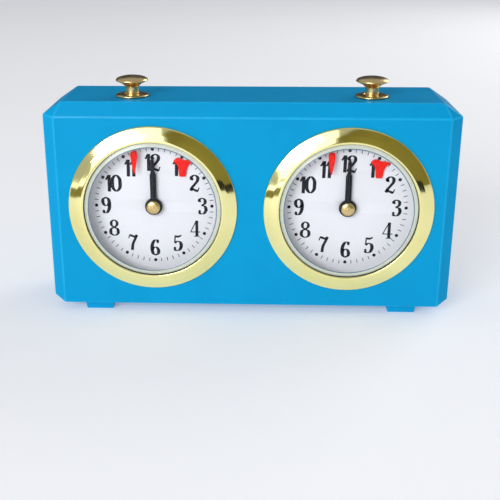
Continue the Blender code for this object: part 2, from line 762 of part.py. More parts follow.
def make_train(name, centre, third, escape, phases):
    """Centre, third and escape wheels on their arbors, and the setting knob."""
    arbor = stepped([(CENTRE_ARBOR_RADIUS, NUT_FRONT + 3 * GAP, ARBOR_END)])
    middle = turned(f"{name}_centre_wheel", arbor, centre, sides=COARSE)
    layers = (
        ("wheel", WHEEL_TEETH, CENTRE_MODULE, CENTRE_LAYER),
        ("pinion", PINION_TEETH, GREAT_MODULE, CENTRE_PINION_LAYER),
        ("cannon", PINION_TEETH, CANNON_MODULE, CANNON_LAYER),
    )
    for label, teeth, module, layer in layers:
        combine(middle, [plate(f"{name}_centre_{label}", gear(teeth, module, 0), *layer, centre)])
    finish(middle, BRASS)

    inner_front = FRONT_PLATE_FRONT + PLATE_THICKNESS + GAP
    inner_back = REAR_PLATE_FRONT - GAP
    staff = [
        (PIVOT_RADIUS, FRONT_PLATE_FRONT + GAP, inner_front),
        (STAFF_RADIUS, inner_front, inner_back),
        (PIVOT_RADIUS, inner_back, REAR_PLATE_FRONT + PLATE_THICKNESS),
    ]
    second = turned(f"{name}_third_wheel", stepped(staff), third, sides=COARSE)
    pinion = gear(PINION_TEETH, CENTRE_MODULE, phases["third"])
    wheel = gear(WHEEL_TEETH, THIRD_MODULE, 0)
    combine(second, [plate(f"{name}_third_pinion", pinion, *THIRD_PINION_LAYER, third)])
    combine(second, [plate(f"{name}_third_rim", wheel, *THIRD_LAYER, third)])
    finish(second, BRASS)

    last = turned(f"{name}_escape_wheel", stepped(staff), escape, sides=COARSE)
    pitch = 360 / ESCAPE_TEETH
    ratchet = []
    for tooth in range(ESCAPE_TEETH):
        ratchet.append(polar(0.8 * ESCAPE_RADIUS, tooth * pitch))
        ratchet.append(polar(ESCAPE_RADIUS, (tooth + 0.3) * pitch))
    pinion = gear(PINION_TEETH, THIRD_MODULE, phases["escape"])
    combine(last, [plate(f"{name}_escape_pinion", pinion, *ESCAPE_PINION_LAYER, escape)])
    combine(last, [plate(f"{name}_escape_rim", ratchet, *ESCAPE_LAYER, escape)])
    finish(last, BRASS)

    ribs = []
    for rib in range(KNOB_RIBS):
        ribs.append(polar(KNOB_RADIUS, (rib - 0.2) * 360 / KNOB_RIBS))
        ribs.append(polar(KNOB_RADIUS, (rib + 0.2) * 360 / KNOB_RIBS))
        ribs.append(polar(KNOB_RADIUS * KNOB_GROOVE_SHARE, (rib + 0.5) * 360 / KNOB_RIBS))
    knob_front = CASE_DEPTH + 4 * GAP
    knob = plate(f"{name}_setting_knob", ribs, knob_front, knob_front + KNOB_LENGTH, centre)
    bore = rod(f"{name}_knob_bore", CENTRE_ARBOR_RADIUS + GAP, -ARBOR_END - GAP, -knob_front + GAP, centre)
    finish(cut(knob, [bore]), BRASS)


def make_motion_work(name, motion, hours, phases):
    """The 12 to 1 wheels between the dial and the front plate."""
    module = CANNON_MODULE * (PINION_TEETH + MOTION_TEETH) / (PINION_TEETH + WHEEL_TEETH)
    wheel = gear(MOTION_TEETH, CANNON_MODULE, phases["motion"])
    idler = plate(f"{name}_motion_wheel", wheel, *MOTION_LAYER, motion)
    pinion = gear(PINION_TEETH, module, 0)
    combine(idler, [plate(f"{name}_motion_pinion", pinion, *MOTION_PINION_LAYER, motion)])
    bore_start, bore_end = -MOTION_LAYER[1] - MM, GAP - MOTION_PINION_LAYER[0]
    bore = rod(f"{name}_motion_bore", STUD_RADIUS + GAP, bore_start, bore_end, motion)
    finish(cut(idler, [bore]), BRASS)

    pipe = rod(f"{name}_hour_wheel", PIPE_RADIUS, -HOUR_PIPE_BACK, -HOUR_HAND_FRONT - GAP, hours)
    combine(pipe, [plate(f"{name}_hour_rim", gear(WHEEL_TEETH, module, phases["hour"]), *HOUR_LAYER, hours)])
    clear_bore = CENTRE_ARBOR_RADIUS + RUNNING_CLEARANCE
    bore = rod(f"{name}_hour_bore", clear_bore, -HOUR_LAYER[1] - GAP, -MINUTE_HAND_FRONT, hours)
    finish(cut(pipe, [bore]), BRASS)


def make_escapement(name, pallets, balance, escape_place):
    """Pallet fork and balance wheel. The pallets stop just short of the escape wheel's teeth."""
    front, back = ESCAPE_LAYER
    arbor = [(PALLET_ARBOR_RADIUS, INDICATOR_FRONT, REAR_PLATE_FRONT + PLATE_THICKNESS)]
    fork = turned(f"{name}_pallet_fork", stepped(arbor), pallets, sides=COARSE)
    to_escape = math.degrees(
        math.atan2(escape_place[1] - PALLET_AXIS[1], escape_place[0] - PALLET_AXIS[0])
    )
    to_balance = math.degrees(
        math.atan2(BALANCE_AXIS[1] - PALLET_AXIS[1], BALANCE_AXIS[0] - PALLET_AXIS[0])
    )
    arms = (
        ("entry", to_escape - PALLET_SPREAD, PALLET_REACH),
        ("exit", to_escape + PALLET_SPREAD, PALLET_REACH),
        ("lever", to_balance, LEVER_REACH),
    )
    for label, angle, reach in arms:
        low, high = (0, -ARM_HALF_WIDTH, -back), (reach, ARM_HALF_WIDTH, -front)
        arm = box(f"{name}_{label}_arm", low, high, pallets)
        arm.rotation_euler = (0, 0, math.radians(angle))
        combine(fork, [arm])
    finish(fork, STEEL)

    inner_front = FRONT_PLATE_FRONT + PLATE_THICKNESS + GAP
    inner_back = REAR_PLATE_FRONT - GAP
    staff = [
        (PIVOT_RADIUS, FRONT_PLATE_FRONT + GAP, inner_front),
        (STAFF_RADIUS, inner_front, front),
        (2 * STAFF_RADIUS, front, back),
        (STAFF_RADIUS, back, inner_back),
        (PIVOT_RADIUS, inner_back, REAR_PLATE_FRONT + PLATE_THICKNESS),
    ]
    wheel = turned(f"{name}_balance_wheel", stepped(staff), balance, sides=COARSE)
    rim = [
        (BALANCE_RADIUS, -BALANCE_FRONT),
        (BALANCE_RADIUS, -BALANCE_BACK),
        (BALANCE_RIM_SHARE * BALANCE_RADIUS, -BALANCE_BACK),
        (BALANCE_RIM_SHARE * BALANCE_RADIUS, -BALANCE_FRONT),
    ]
    ring = turned(f"{name}_balance_rim", rim, balance, ring=True)
    reach = 0.9 * BALANCE_RADIUS
    arm = box(
        f"{name}_balance_arm",
        (-reach, -MM, GAP - BALANCE_BACK),
        (reach, MM, -GAP - BALANCE_FRONT),
        balance,
    )
    finish(combine(wheel, [arm, ring]), BRASS)


def make_movement(side, name):
    """One clock: everything on and behind one dial."""
    axis = new_empty(f"{name}_axis", dial_centre(side), True)
    distance = GREAT_MODULE * (WHEEL_TEETH + PINION_TEETH) / 2
    great_place = polar(distance, GREAT_ANGLE)
    third_place = polar(CENTRE_MODULE * (WHEEL_TEETH + PINION_TEETH) / 2, THIRD_ANGLE)
    escape_place = polar(THIRD_MODULE * (WHEEL_TEETH + PINION_TEETH) / 2, ESCAPE_ANGLE, third_place)
    motion_place = polar(CANNON_MODULE * (PINION_TEETH + MOTION_TEETH) / 2, MOTION_ANGLE)
    places = {
        "great": great_place,
        "third": third_place,
        "escape": escape_place,
        "motion": motion_place,
        "pallet": PALLET_AXIS,
        "balance": BALANCE_AXIS,
        "flag": FLAG_PIVOT,
        "centre": (0, 0),
        "hour": (0, 0),
        "key": great_place,
    }
    axes = {
        label: new_empty(f"{name}_{label}_axis", (*place, 0), False, axis) for label, place in places.items()
    }
    phases = {
        "great": meshing_phase(PINION_TEETH, 0, GREAT_ANGLE, WHEEL_TEETH),
        "third": meshing_phase(WHEEL_TEETH, 0, THIRD_ANGLE, PINION_TEETH),
        "escape": meshing_phase(WHEEL_TEETH, 0, ESCAPE_ANGLE, PINION_TEETH),
        "motion": meshing_phase(PINION_TEETH, 0, MOTION_ANGLE, MOTION_TEETH),
        "hour": meshing_phase(PINION_TEETH, 0, MOTION_ANGLE + 180, WHEEL_TEETH),
    }
    make_front(side, name, axis)
    make_hands(name, axes["centre"], axes["hour"])
    make_flag(name, axes["flag"])
    make_indicator(name, axes["pallet"])
    make_plates(name, axis, places)
    make_power(name, axes["great"], axes["key"], phases["great"])
    make_train(name, axes["centre"], axes["third"], axes["escape"], phases)
    make_motion_work(name, axes["motion"], axes["hour"], phases)
    make_escapement(name, axes["pallet"], axes["balance"], escape_place)


def make_button(side, name):
    """A mushroom button in its flanged bush. Local Z is up, from the case's underside."""
    axis = new_empty(f"{name}_button_axis", (side * BUTTON_X, FRONT_Y + BUTTON_DEPTH, FOOT_HEIGHT))
    top = CASE_HEIGHT
    bush = [
        (STEM_RADIUS + GAP, top + 4 * GAP),
        (BUSH_FLANGE_RADIUS - 2 * GAP, top + 4 * GAP),
        (BUSH_FLANGE_RADIUS, top + 3 * GAP),
        (BUSH_FLANGE_RADIUS, top + GAP),
        (BUSH_RADIUS, top + GAP),
        (BUSH_RADIUS, BUSH_BOTTOM),
        (STEM_RADIUS + GAP, BUSH_BOTTOM),
    ]
    finish(turned(f"{name}_button_bush", bush, axis, ring=True), BRASS)
    crown = top + CAP_HEIGHT
    collar_top = BUSH_BOTTOM - BUTTON_TRAVEL - GAP
    button = [
        (0, crown),
        (CAP_RADIUS * 0.5, crown - 0.035 * CAP_HEIGHT),
        (CAP_RADIUS * 0.85, crown - 0.12 * CAP_HEIGHT),
        (CAP_RADIUS, crown - 0.2 * CAP_HEIGHT),
        (CAP_RADIUS * 0.97, crown - 0.24 * CAP_HEIGHT),
        (STEM_RADIUS * 1.25, crown - 0.38 * CAP_HEIGHT),
        (STEM_RADIUS, crown - 0.48 * CAP_HEIGHT),
        (STEM_RADIUS, collar_top),
        (STEM_RADIUS * 1.5, collar_top),
        (STEM_RADIUS * 1.5, collar_top - COLLAR_HEIGHT),
        (STEM_RADIUS, collar_top - COLLAR_HEIGHT),
        (STEM_RADIUS, STEM_FOOT),
        (0, STEM_FOOT),
    ]
    finish(turned(f"{name}_button", button, axis), BRASS)


def make_rocker():
    """The bar under both buttons, with a brake finger over each balance, and its bracket."""
    pivot_height = FOOT_HEIGHT + ROCKER_TOP - ROCKER_THICKNESS / 2
    pivot = new_empty("rocker_axis", (0, FRONT_Y, pivot_height), True)
    half = ROCKER_THICKNESS / 2
    bar = box("rocker_bar", (ROCKER_LEFT, -half, -ROCKER_BACK), (ROCKER_RIGHT, half, -ROCKER_FRONT), pivot)
    rim_height = math.sqrt(BALANCE_RADIUS**2 - (BALANCE_AXIS[0] - BRAKE_OFFSET) ** 2)
    rim_top = FOOT_HEIGHT + DIAL_HEIGHT + BALANCE_AXIS[1] + rim_height
    for side in (-1, 1):
        x = side * DIAL_X + BRAKE_OFFSET
        clearance = BUTTON_TRAVEL * (abs(x) + BRAKE_WIDTH) / BUTTON_X + RUNNING_CLEARANCE
        finger = box(
            "brake_finger",
            (x - BRAKE_WIDTH / 2, rim_top + clearance - pivot_height, -ROCKER_BACK),
            (x + BRAKE_WIDTH / 2, 0, BRAKE_DEPTH - ROCKER_BACK),
            pivot,
        )
        combine(bar, [finger])
    hole = rod("rocker_hole", ROCKER_PIN_RADIUS + GAP, -ROCKER_BACK - WALL, -ROCKER_FRONT + WALL, pivot)
    finish(cut(bar, [hole]), STEEL)

    ceiling = FOOT_HEIGHT + CASE_HEIGHT - WALL - GAP - pivot_height
    front = ROCKER_FRONT - GAP - CHEEK_THICKNESS
    back = ROCKER_BACK + GAP + CHEEK_THICKNESS
    bracket = box(
        "rocker_bracket",
        (-1.5 * BRACKET_REACH, ceiling - CHEEK_THICKNESS, -back),
        (1.5 * BRACKET_REACH, ceiling, -front),
        pivot,
    )
    for depth in (front, back - CHEEK_THICKNESS):
        cheek = box(
            "cheek",
            (-BRACKET_REACH, -BRACKET_REACH / 1.5, -depth - CHEEK_THICKNESS),
            (BRACKET_REACH, ceiling - CHEEK_THICKNESS / 2, -depth),
            pivot,
        )
        combine(bracket, [cheek])
    pin = rod("rocker_pin", ROCKER_PIN_RADIUS, GAP - back, -GAP - front, pivot)
    finish(combine(bracket, [pin]), STEEL)


make_case()
make_feet()
make_back_cover()
for dial_side, side_name in ((-1, "left"), (1, "right")):
    make_movement(dial_side, side_name)
    make_button(dial_side, side_name)
make_rocker()
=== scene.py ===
"""The looks of a mechanical chess clock: blue plastic case, gold bezels, printed dials, brass buttons."""

import json
import math

import bmesh
import bpy
from mathutils import Matrix, Vector


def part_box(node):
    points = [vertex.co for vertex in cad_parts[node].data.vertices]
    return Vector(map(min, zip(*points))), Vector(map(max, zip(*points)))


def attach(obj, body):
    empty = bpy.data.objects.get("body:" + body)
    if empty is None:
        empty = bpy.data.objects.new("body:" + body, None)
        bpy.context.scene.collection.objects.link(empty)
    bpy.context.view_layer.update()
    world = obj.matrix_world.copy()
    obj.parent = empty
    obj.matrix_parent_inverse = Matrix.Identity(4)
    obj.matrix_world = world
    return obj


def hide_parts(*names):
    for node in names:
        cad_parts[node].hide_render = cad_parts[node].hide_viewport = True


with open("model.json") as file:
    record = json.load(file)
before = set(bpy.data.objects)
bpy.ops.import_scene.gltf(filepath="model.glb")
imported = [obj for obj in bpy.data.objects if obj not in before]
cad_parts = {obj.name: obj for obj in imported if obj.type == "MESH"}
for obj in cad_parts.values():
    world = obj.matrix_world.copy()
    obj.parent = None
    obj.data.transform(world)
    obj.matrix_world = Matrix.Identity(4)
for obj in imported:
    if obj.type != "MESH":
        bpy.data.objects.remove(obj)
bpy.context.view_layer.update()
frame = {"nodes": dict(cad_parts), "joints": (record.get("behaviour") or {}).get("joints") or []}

MM = 0.001
CASE_BODY = "case"
SIDES = ("left", "right")

# The case, read from the frame
case_low, case_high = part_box("case_shell")
FRONT_Y = case_low.y
BASE_Z = case_low.z
TOP_Z = case_high.z
HALF_WIDTH = case_high.x
CASE_DEPTH = case_high.y - case_low.y
WALL = 2.5 * MM
CHAMFER_DEPTH = 3.5 * MM
SIDE_CHAMFER = 5.4 * MM
TOP_CHAMFER = 6.6 * MM
TOP_CORNER = (8.9 * MM, 6.0 * MM)
BOTTOM_CORNER = (5.4 * MM, 2.9 * MM)
REAR_CHAMFER = 1.2 * MM
EDGE_RADIUS = 0.55 * MM
COVER_EDGE = 0.4 * MM
OPENING_RADIUS = 34.7 * MM

# Bezel, lens and dial
BEZEL_RADIUS = 39.3 * MM
BEZEL_PROUD = 3.1 * MM
LIP_RADIUS = 32.1 * MM
SKIRT_INNER = 33.3 * MM
SKIRT_OUTER = 34.4 * MM
LENS_FLAT_RADIUS = 29.6 * MM
LENS_LINE_WIDTH = 0.5 * MM
LENS_RADIUS = 33.0 * MM
# Width of the dark ring of painted shade on the lens rim, inside the lip
SHADE_RING_WIDTH = 0.3 * MM
DIAL_FRONT = 5.5 * MM
DIAL_RADIUS = 34.5 * MM
DIAL_THICKNESS = 0.8 * MM
DIAL_BORE = 2.9 * MM
FLAG_HOLE = 0.9 * MM
INDICATOR_HOLE = 1.3 * MM
FLAG_ARBOR = 0.6 * MM
FLAG_RIVET_END = 0.3 * MM
GLASS_GLOSS = 0.0043
GLASS_FALLOFF = 5
PRINT_HEIGHT = 0.04 * MM
NUMERAL_RADIUS = 22.8 * MM
NUMERAL_DROP = 1.8 * MM
NUMERAL_HEIGHT = 8.2 * MM
PAIR_SHIFT = 0.8 * MM
DOT_CIRCLE = 27.3 * MM
DOT_RADIUS = 0.80 * MM
TICK_INNER = 26.4 * MM
TICK_OUTER = 28.2 * MM
TICK_WIDTH = 0.30 * MM

# Hands, as front depth, length, width, hub radius and bore radius; then the nut that holds them
HOUR_HAND = (3.9 * MM, 18.6 * MM, 2.9 * MM, 4.1 * MM, 2.6 * MM)
MINUTE_HAND = (2.9 * MM, 24.2 * MM, 1.8 * MM, 3.9 * MM, 1.7 * MM)
HAND_THICKNESS = 0.5 * MM
HAND_TIP_SHARE = 0.12
HAND_TAPER_SHARE = 2.2
NUT_RADIUS = 3.15 * MM
NUT_DOME_CENTRE = 2.05 * MM
NUT_DOME_HEIGHT = 0.95 * MM
NUT_BACK = 2.6 * MM
NUT_BORE = 1.7 * MM

# Flag and running indicator
FLAG_HALF_WIDTH = 1.6 * MM
FLAG_LENGTH = 9 * MM
FLAG_DEPTHS = (1.9 * MM, 2.4 * MM)
FLAG_STEPS = 12
FLAG_NARROWING = 0.86
INDICATOR_DEPTHS = (4.6 * MM, 5.1 * MM)
INDICATOR_BORE = 1.2 * MM

# Buttons
BUTTON_CAP_RADIUS = 7.5 * MM
BUTTON_STEM_RADIUS = 3.1 * MM
BUTTON_DOME_HEIGHT = 2.0 * MM
BUTTON_COLLAR_RISE = 3.3 * MM
BUSH_BORE = 3.4 * MM
BUSH_BARREL = 4.0 * MM
BUSH_DEPTH = 5 * MM

# Holes for the pieces that pass through the case and its cover
BUSH_HOLE = 4.3 * MM
KNOB_HOLE = 2.3 * MM
KEY_HOLE = 2.9 * MM
SCREW_HOLE = 1.8 * MM

# Knob, key and screws
KNOB_RIBS = 24
KNOB_GROOVE = 0.45 * MM
KEY_HUB_RADIUS = 4 * MM
KEY_WING_RADIUS = 2.45 * MM
KEY_EYE_RADIUS = 1.15 * MM
KEY_WING_HALF_THICKNESS = 0.95 * MM
SCREW_DOME_HEIGHT = 1.1 * MM
SCREW_HEAD_DEPTH = 1.6 * MM
SCREW_SHANK_RADIUS = 1.4 * MM
SCREW_SLOT_DEPTH = 0.9 * MM
SCREW_SLOT_HALF = 0.4 * MM

# Studio: reflection cards as name, centre, width and height, turn, colour and glow
CARDS = (
    ("olive_card", (0.78, -1.42, 0.62), (1.75, 1.24), 28, (0.25, 0.21, 0.045), 0),
    ("black_card", (0.30, -0.43, 0.026), (0.34, 0.052), 25, (0.01, 0.01, 0.01), 0),
    ("low_olive_card", (-0.24, -0.27, 0.016), (0.30, 0.032), -39, (0.24, 0.21, 0.05), 0),
    ("back_card", (0, 1.9, 0.75), (5, 1.5), 0, (0.04, 0.045, 0.06), 0),
    ("white_card", (-0.56, -1.54, 0.68), (1.10, 1.24), -20, (0.9, 0.9, 0.9), 1.1),
)
FLOOR_SIZE = 6
FLOOR_COLOUR = (0.80, 0.80, 0.82)
FLOOR_GLOW_COLOUR = (0.97, 0.98, 1.0, 1)
FLOOR_GLOW = 0.24
SKY_COLOUR = (0.94, 0.96, 1.0, 1)
SKY_STRENGTH = 0.48
LIGHT_TARGET = (0, 0, 0.05)
# Lights as name, place, width and height, and power in watts
LIGHTS = (
    ("key", (-0.72, -1.30, 0.60), (0.85, 0.62), 15),
    ("back", (1.1, 1.0, 0.65), (1.0, 1.0), 9),
)

CLEAR = 0.3 * MM


# ---------------------------------------------------------------- mesh helpers


def polar(radius, degrees, centre=(0, 0)):
    angle = math.radians(degrees)
    return (centre[0] + radius * math.cos(angle), centre[1] + radius * math.sin(angle))


def arc(radius, start, sweep, steps, centre=(0, 0)):
    """Points along an arc, both ends included."""
    return [polar(radius, start + sweep * step / steps, centre) for step in range(steps + 1)]


def circle(radius, sides, centre=(0, 0)):
    return arc(radius, 0, 360 * (sides - 1) / sides, sides - 1, centre)


def softened(points, radius, steps=4, closed=False):
    """The same outline with each corner turned into a small curve."""
    result = []
    count = len(points)
    for index, point in enumerate(points):
        if not closed and index in (0, count - 1):
            result.append(point)
            continue
        here = Vector(point)
        before = Vector(points[index - 1]) - here
        after = Vector(points[(index + 1) % count]) - here
        reach = min(radius, 0.45 * before.length, 0.45 * after.length)
        start = here + before.normalized() * reach
        end = here + after.normalized() * reach
        for step in range(steps + 1):
            share = step / steps
            curve = start.lerp(here, share).lerp(here.lerp(end, share), share)
            result.append((curve.x, curve.y))
    return result


def smooth_line(points, steps=10, closed=False):
    """A smooth curve through the points."""
    count = len(points)
    spans = count if closed else count - 1
    result = []
    for span in range(spans):
        p1, p2 = Vector(points[span % count]), Vector(points[(span + 1) % count])
        p0 = Vector(points[(span - 1) % count]) if closed or span > 0 else 2 * p1 - p2
        p3 = Vector(points[(span + 2) % count]) if closed or span < spans - 1 else 2 * p2 - p1
        for step in range(steps):
            t = step / steps
            place = 0.5 * (
                2 * p1
                + (p2 - p0) * t
                + (2 * p0 - 5 * p1 + 4 * p2 - p3) * t**2
                + (3 * p1 - p0 - 3 * p2 + p3) * t**3
            )
            result.append(place)
    if not closed:
        result.append(Vector(points[-1]))
    return result


def add_piece(name, mesh, body, materials, smooth_angle=30):
    """Puts a mesh, already in the row frame, in the scene as a piece that rides on a body."""
    if smooth_angle is None:
        mesh.shade_flat()
    else:
        mesh.shade_smooth()
        mesh.set_sharp_from_angle(angle=math.radians(smooth_angle))
    if not mesh.materials:
        for material in materials:
            mesh.materials.append(material)
    piece = bpy.data.objects.new(name, mesh)
    bpy.context.scene.collection.objects.link(piece)
    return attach(piece, body)


def mesh_of(shape, name, matrix=None):
    bmesh.ops.recalc_face_normals(shape, faces=shape.faces)
    mesh = bpy.data.meshes.new(name)
    shape.to_mesh(mesh)
    shape.free()
    if matrix:
        mesh.transform(matrix)
    return mesh


def lathe(name, profile, matrix, sides=96, closed=False, zones=()):
    """A turned mesh about local Z from a profile of (radius, height).

    zones are (first span, last span, material index) for stretches of the profile."""
    shape = bmesh.new()
    rings = []
    for radius, height in profile:
        if radius < 1e-7:
            rings.append([shape.verts.new((0, 0, height))])
            continue
        rings.append([shape.verts.new((*polar(radius, 360 * side / sides), height)) for side in range(sides)])
    spans = list(zip(rings, rings[1:]))
    if closed:
        spans.append((rings[-1], rings[0]))
    for number, (first, second) in enumerate(spans):
        slot = next((index for low, high, index in zones if low <= number <= high), 0)
        for side in range(sides):
            after = (side + 1) % sides
            corners = [first[side % len(first)], first[after % len(first)]]
            corners += [second[after % len(second)], second[side % len(second)]]
            unique = list(dict.fromkeys(corners))
            if len(unique) > 2:
                shape.faces.new(unique).material_index = slot
    return mesh_of(shape, name, matrix)


def flat_mesh(name, outlines, front, back, matrix, edge=0.06 * MM):
    """A flat piece between two depths, with softly rounded edges; outlines after the first are holes."""
    curve = bpy.data.curves.new(name, "CURVE")
    curve.dimensions = "2D"
    curve.fill_mode = "BOTH"
    curve.extrude = (back - front) / 2 - edge
    curve.bevel_depth = edge
    curve.offset = -edge
    curve.bevel_resolution = 2
    for points in outlines:
        spline = curve.splines.new("POLY")
        spline.points.add(len(points) - 1)
        for point, (x, y) in zip(spline.points, points):
            point.co = (x, y, 0, 1)
        spline.use_cyclic_u = True
    flat = bpy.data.objects.new(name, curve)
    bpy.context.scene.collection.objects.link(flat)
    bpy.context.view_layer.update()
    mesh = bpy.data.meshes.new_from_object(flat.evaluated_get(bpy.context.evaluated_depsgraph_get()))
    bpy.data.objects.remove(flat)
    bpy.data.curves.remove(curve)
    shape = bmesh.new()
    shape.from_mesh(mesh)
    bpy.data.meshes.remove(mesh)
    bmesh.ops.remove_doubles(shape, verts=shape.verts, dist=0.000001)
    bmesh.ops.translate(shape, verts=shape.verts, vec=(0, 0, -(front + back) / 2))
    return mesh_of(shape, name, matrix)


def bevelled_box(name, low, high, width, segments=3):
    """A box between two corners with rounded edges."""
    low, high = Vector(low), Vector(high)
    shape = bmesh.new()
    place = Matrix.Translation((low + high) / 2) @ Matrix.Diagonal((*(high - low), 1))
    bmesh.ops.create_cube(shape, size=1, matrix=place)
    bmesh.ops.bevel(shape, geom=shape.edges, offset=width, segments=segments, profile=0.5, affect="EDGES")
    return mesh_of(shape, name)


def boolean(mesh, others, operation):
    """Cuts meshes out of another, or joins them to it, and returns the result."""
    target = bpy.data.objects.new("target", mesh)
    bpy.context.scene.collection.objects.link(target)
    helpers = []
    for other in others:
        helper = bpy.data.objects.new("helper", other)
        bpy.context.scene.collection.objects.link(helper)
        helpers.append(helper)
        change = target.modifiers.new("change", "BOOLEAN")
        change.operation = operation
        change.object = helper
        change.solver = "EXACT"
    bpy.context.view_layer.update()
    result = bpy.data.meshes.new_from_object(target.evaluated_get(bpy.context.evaluated_depsgraph_get()))
    for used in [target, *helpers]:
        bpy.data.objects.remove(used)
    return result


def facing_front(x, z):
    """Places a piece made about local Z so that local Z points out of the front at (x, z)."""
    return Matrix.Translation((x, FRONT_Y, z)) @ Matrix.Rotation(math.radians(90), 4, "X")


def facing_back(x, z, depth):
    """Places a piece made about local Z so that local Z points out of the back."""
    return Matrix.Translation((x, FRONT_Y + depth, z)) @ Matrix.Rotation(math.radians(-90), 4, "X")


def middle(node):
    low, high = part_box(node)
    return (low + high) / 2


# ------------------------------------------------------------------- materials


class Surface:
    """A Principled material whose colour, roughness and bump come from procedural detail."""

    def __init__(self, name, colour, metallic=0.0, roughness=0.4, **sockets):
        self.material = bpy.data.materials.new(name)
        self.material.use_nodes = True
        self.tree = self.material.node_tree
        self.shader = self.tree.nodes["Principled BSDF"]
        self.shader.inputs["Base Color"].default_value = (*colour, 1)
        self.shader.inputs["Metallic"].default_value = metallic
        self.shader.inputs["Roughness"].default_value = roughness
        for socket, value in sockets.items():
            self.shader.inputs[socket.replace("_", " ")].default_value = value
        self.colour = colour
        self.coordinates = self.tree.nodes.new("ShaderNodeTexCoord").outputs["Object"]

    def node(self, kind, **settings):
        made = self.tree.nodes.new(kind)
        for key, value in settings.items():
            setattr(made, key, value)
        return made

    def noise(self, scale, detail=4.0, roughness=0.6, stretch=None):
        """Noise over the object's own coordinates, stretched along an axis if asked."""
        made = self.node("ShaderNodeTexNoise")
        made.inputs["Scale"].default_value = scale
        made.inputs["Detail"].default_value = detail
        made.inputs["Roughness"].default_value = roughness
        source = self.coordinates
        if stretch:
            mapping = self.node("ShaderNodeMapping")
            mapping.inputs["Scale"].default_value = stretch
            self.tree.links.new(source, mapping.inputs["Vector"])
            source = mapping.outputs["Vector"]
        self.tree.links.new(source, made.inputs["Vector"])
        return made.outputs["Fac"]

    def ranged(self, value, low, high, start=0.3, end=0.7):
        made = self.node("ShaderNodeMapRange")
        made.inputs["From Min"].default_value = start
        made.inputs["From Max"].default_value = end
        made.inputs["To Min"].default_value = low
        made.inputs["To Max"].default_value = high
        self.tree.links.new(value, made.inputs["Value"])
        return made.outputs["Result"]

    def vary_roughness(self, value, low, high):
        self.tree.links.new(self.ranged(value, low, high), self.shader.inputs["Roughness"])
        return self

    def vary_colour(self, value, other, start=0.35, end=0.65):
        mix = self.node("ShaderNodeMix", data_type="RGBA")
        mix.inputs["A"].default_value = (*self.colour, 1)
        mix.inputs["B"].default_value = (*other, 1)
        self.tree.links.new(self.ranged(value, 0, 1, start, end), mix.inputs["Factor"])
        self.tree.links.new(mix.outputs["Result"], self.shader.inputs["Base Color"])
        return self

    def bump(self, value, strength, distance):
        made = self.node("ShaderNodeBump")
        made.inputs["Strength"].default_value = strength
        made.inputs["Distance"].default_value = distance
        self.tree.links.new(value, made.inputs["Height"])
        self.tree.links.new(made.outputs["Normal"], self.shader.inputs["Normal"])
        return self


def blue_plastic():
    """Satin moulded plastic: fine grain, with slightly uneven gloss and tone."""
    look = Surface("blue_plastic", (0.0018, 0.315, 0.62), 0, 0.42, Specular_IOR_Level=0.06)
    look.vary_roughness(look.noise(90), 0.36, 0.50)
    look.vary_colour(look.noise(35, 3), (0.0018, 0.295, 0.585))
    look.bump(look.noise(1800, 2), 0.10, 0.00005)
    return look.material


def rubbed_edge():
    """The same plastic along its rounded edges, a little glossier, with a lighter blue that is a painted
    highlight along the edges.
    """
    look = Surface("rubbed_edge", (0.004, 0.38, 0.71), 0, 0.32, Specular_IOR_Level=0.16)
    look.vary_roughness(look.noise(200), 0.26, 0.40)
    look.vary_colour(look.noise(120, 3), (0.003, 0.34, 0.65))
    return look.material


def gold_plate():
    """Polished gold plate with faint handling marks."""
    look = Surface("gold_plate", (0.97, 0.92, 0.44), 1, 0.06)
    look.vary_roughness(look.noise(140), 0.04, 0.10)
    look.vary_colour(look.noise(60), (0.95, 0.88, 0.38))
    look.bump(look.noise(260, 2), 0.02, 0.00004)
    return look.material


def turned_brass():
    """Lacquered brass, turned on a lathe."""
    look = Surface("turned_brass", (0.78, 0.60, 0.29), 1, 0.27)
    look.vary_roughness(look.noise(300), 0.22, 0.34)
    look.vary_colour(look.noise(160), (0.68, 0.50, 0.22))
    look.bump(look.noise(600, 2, stretch=(1, 1, 6)), 0.03, 0.00004)
    return look.material


def plain_steel():
    look = Surface("plain_steel", (0.58, 0.58, 0.60), 1, 0.30)
    look.vary_roughness(look.noise(250), 0.24, 0.40)
    look.bump(look.noise(700, 3, stretch=(8, 1, 1)), 0.08, 0.00005)
    return look.material


def dial_enamel():
    """Matt white enamel with a trace of unevenness."""
    look = Surface("dial_enamel", (0.80, 0.81, 0.86), 0, 0.45)
    look.vary_roughness(look.noise(120), 0.40, 0.52)
    look.vary_colour(look.noise(50), (0.78, 0.79, 0.845))
    look.bump(look.noise(1500, 2), 0.05, 0.00003)
    return look.material


def printing_ink():
    """Black ink with the faint mottle of pad printing."""
    look = Surface("printing_ink", (0.005, 0.007, 0.014), 0, 0.5, Specular_IOR_Level=0.2)
    look.vary_roughness(look.noise(900), 0.36, 0.55)
    look.vary_colour(look.noise(700), (0.011, 0.013, 0.022))
    return look.material


def black_lacquer():
    look = Surface("black_lacquer", (0.004, 0.006, 0.011), 0, 0.32, Specular_IOR_Level=0.25)
    look.vary_roughness(look.noise(400), 0.26, 0.40)
    look.vary_colour(look.noise(300), (0.007, 0.009, 0.015))
    return look.material


def red_enamel():
    look = Surface("red_enamel", (0.90, 0.010, 0.003), 0, 0.40, Specular_IOR_Level=0.2)
    look.vary_roughness(look.noise(500), 0.30, 0.46)
    look.vary_colour(look.noise(260), (0.80, 0.010, 0.006))
    look.bump(look.noise(1500, 2), 0.06, 0.00003)
    return look.material


def dial_wall():
    """The pale inner wall of the bezel, seen edge on through the lens; its pale colour is a painted
    reflection.
    """
    look = Surface("dial_wall", (0.74, 0.76, 0.74), 0, 0.4)
    look.vary_roughness(look.noise(200), 0.34, 0.46)
    return look.material


def rubber_seal():
    """A dark ring on the lens rim where it meets the bezel's lip: painted shade, standing in for the contact
    shadow there.
    """
    look = Surface("rubber_seal", (0.035, 0.045, 0.04), 0, 0.5)
    look.vary_roughness(look.noise(400), 0.4, 0.6)
    return look.material


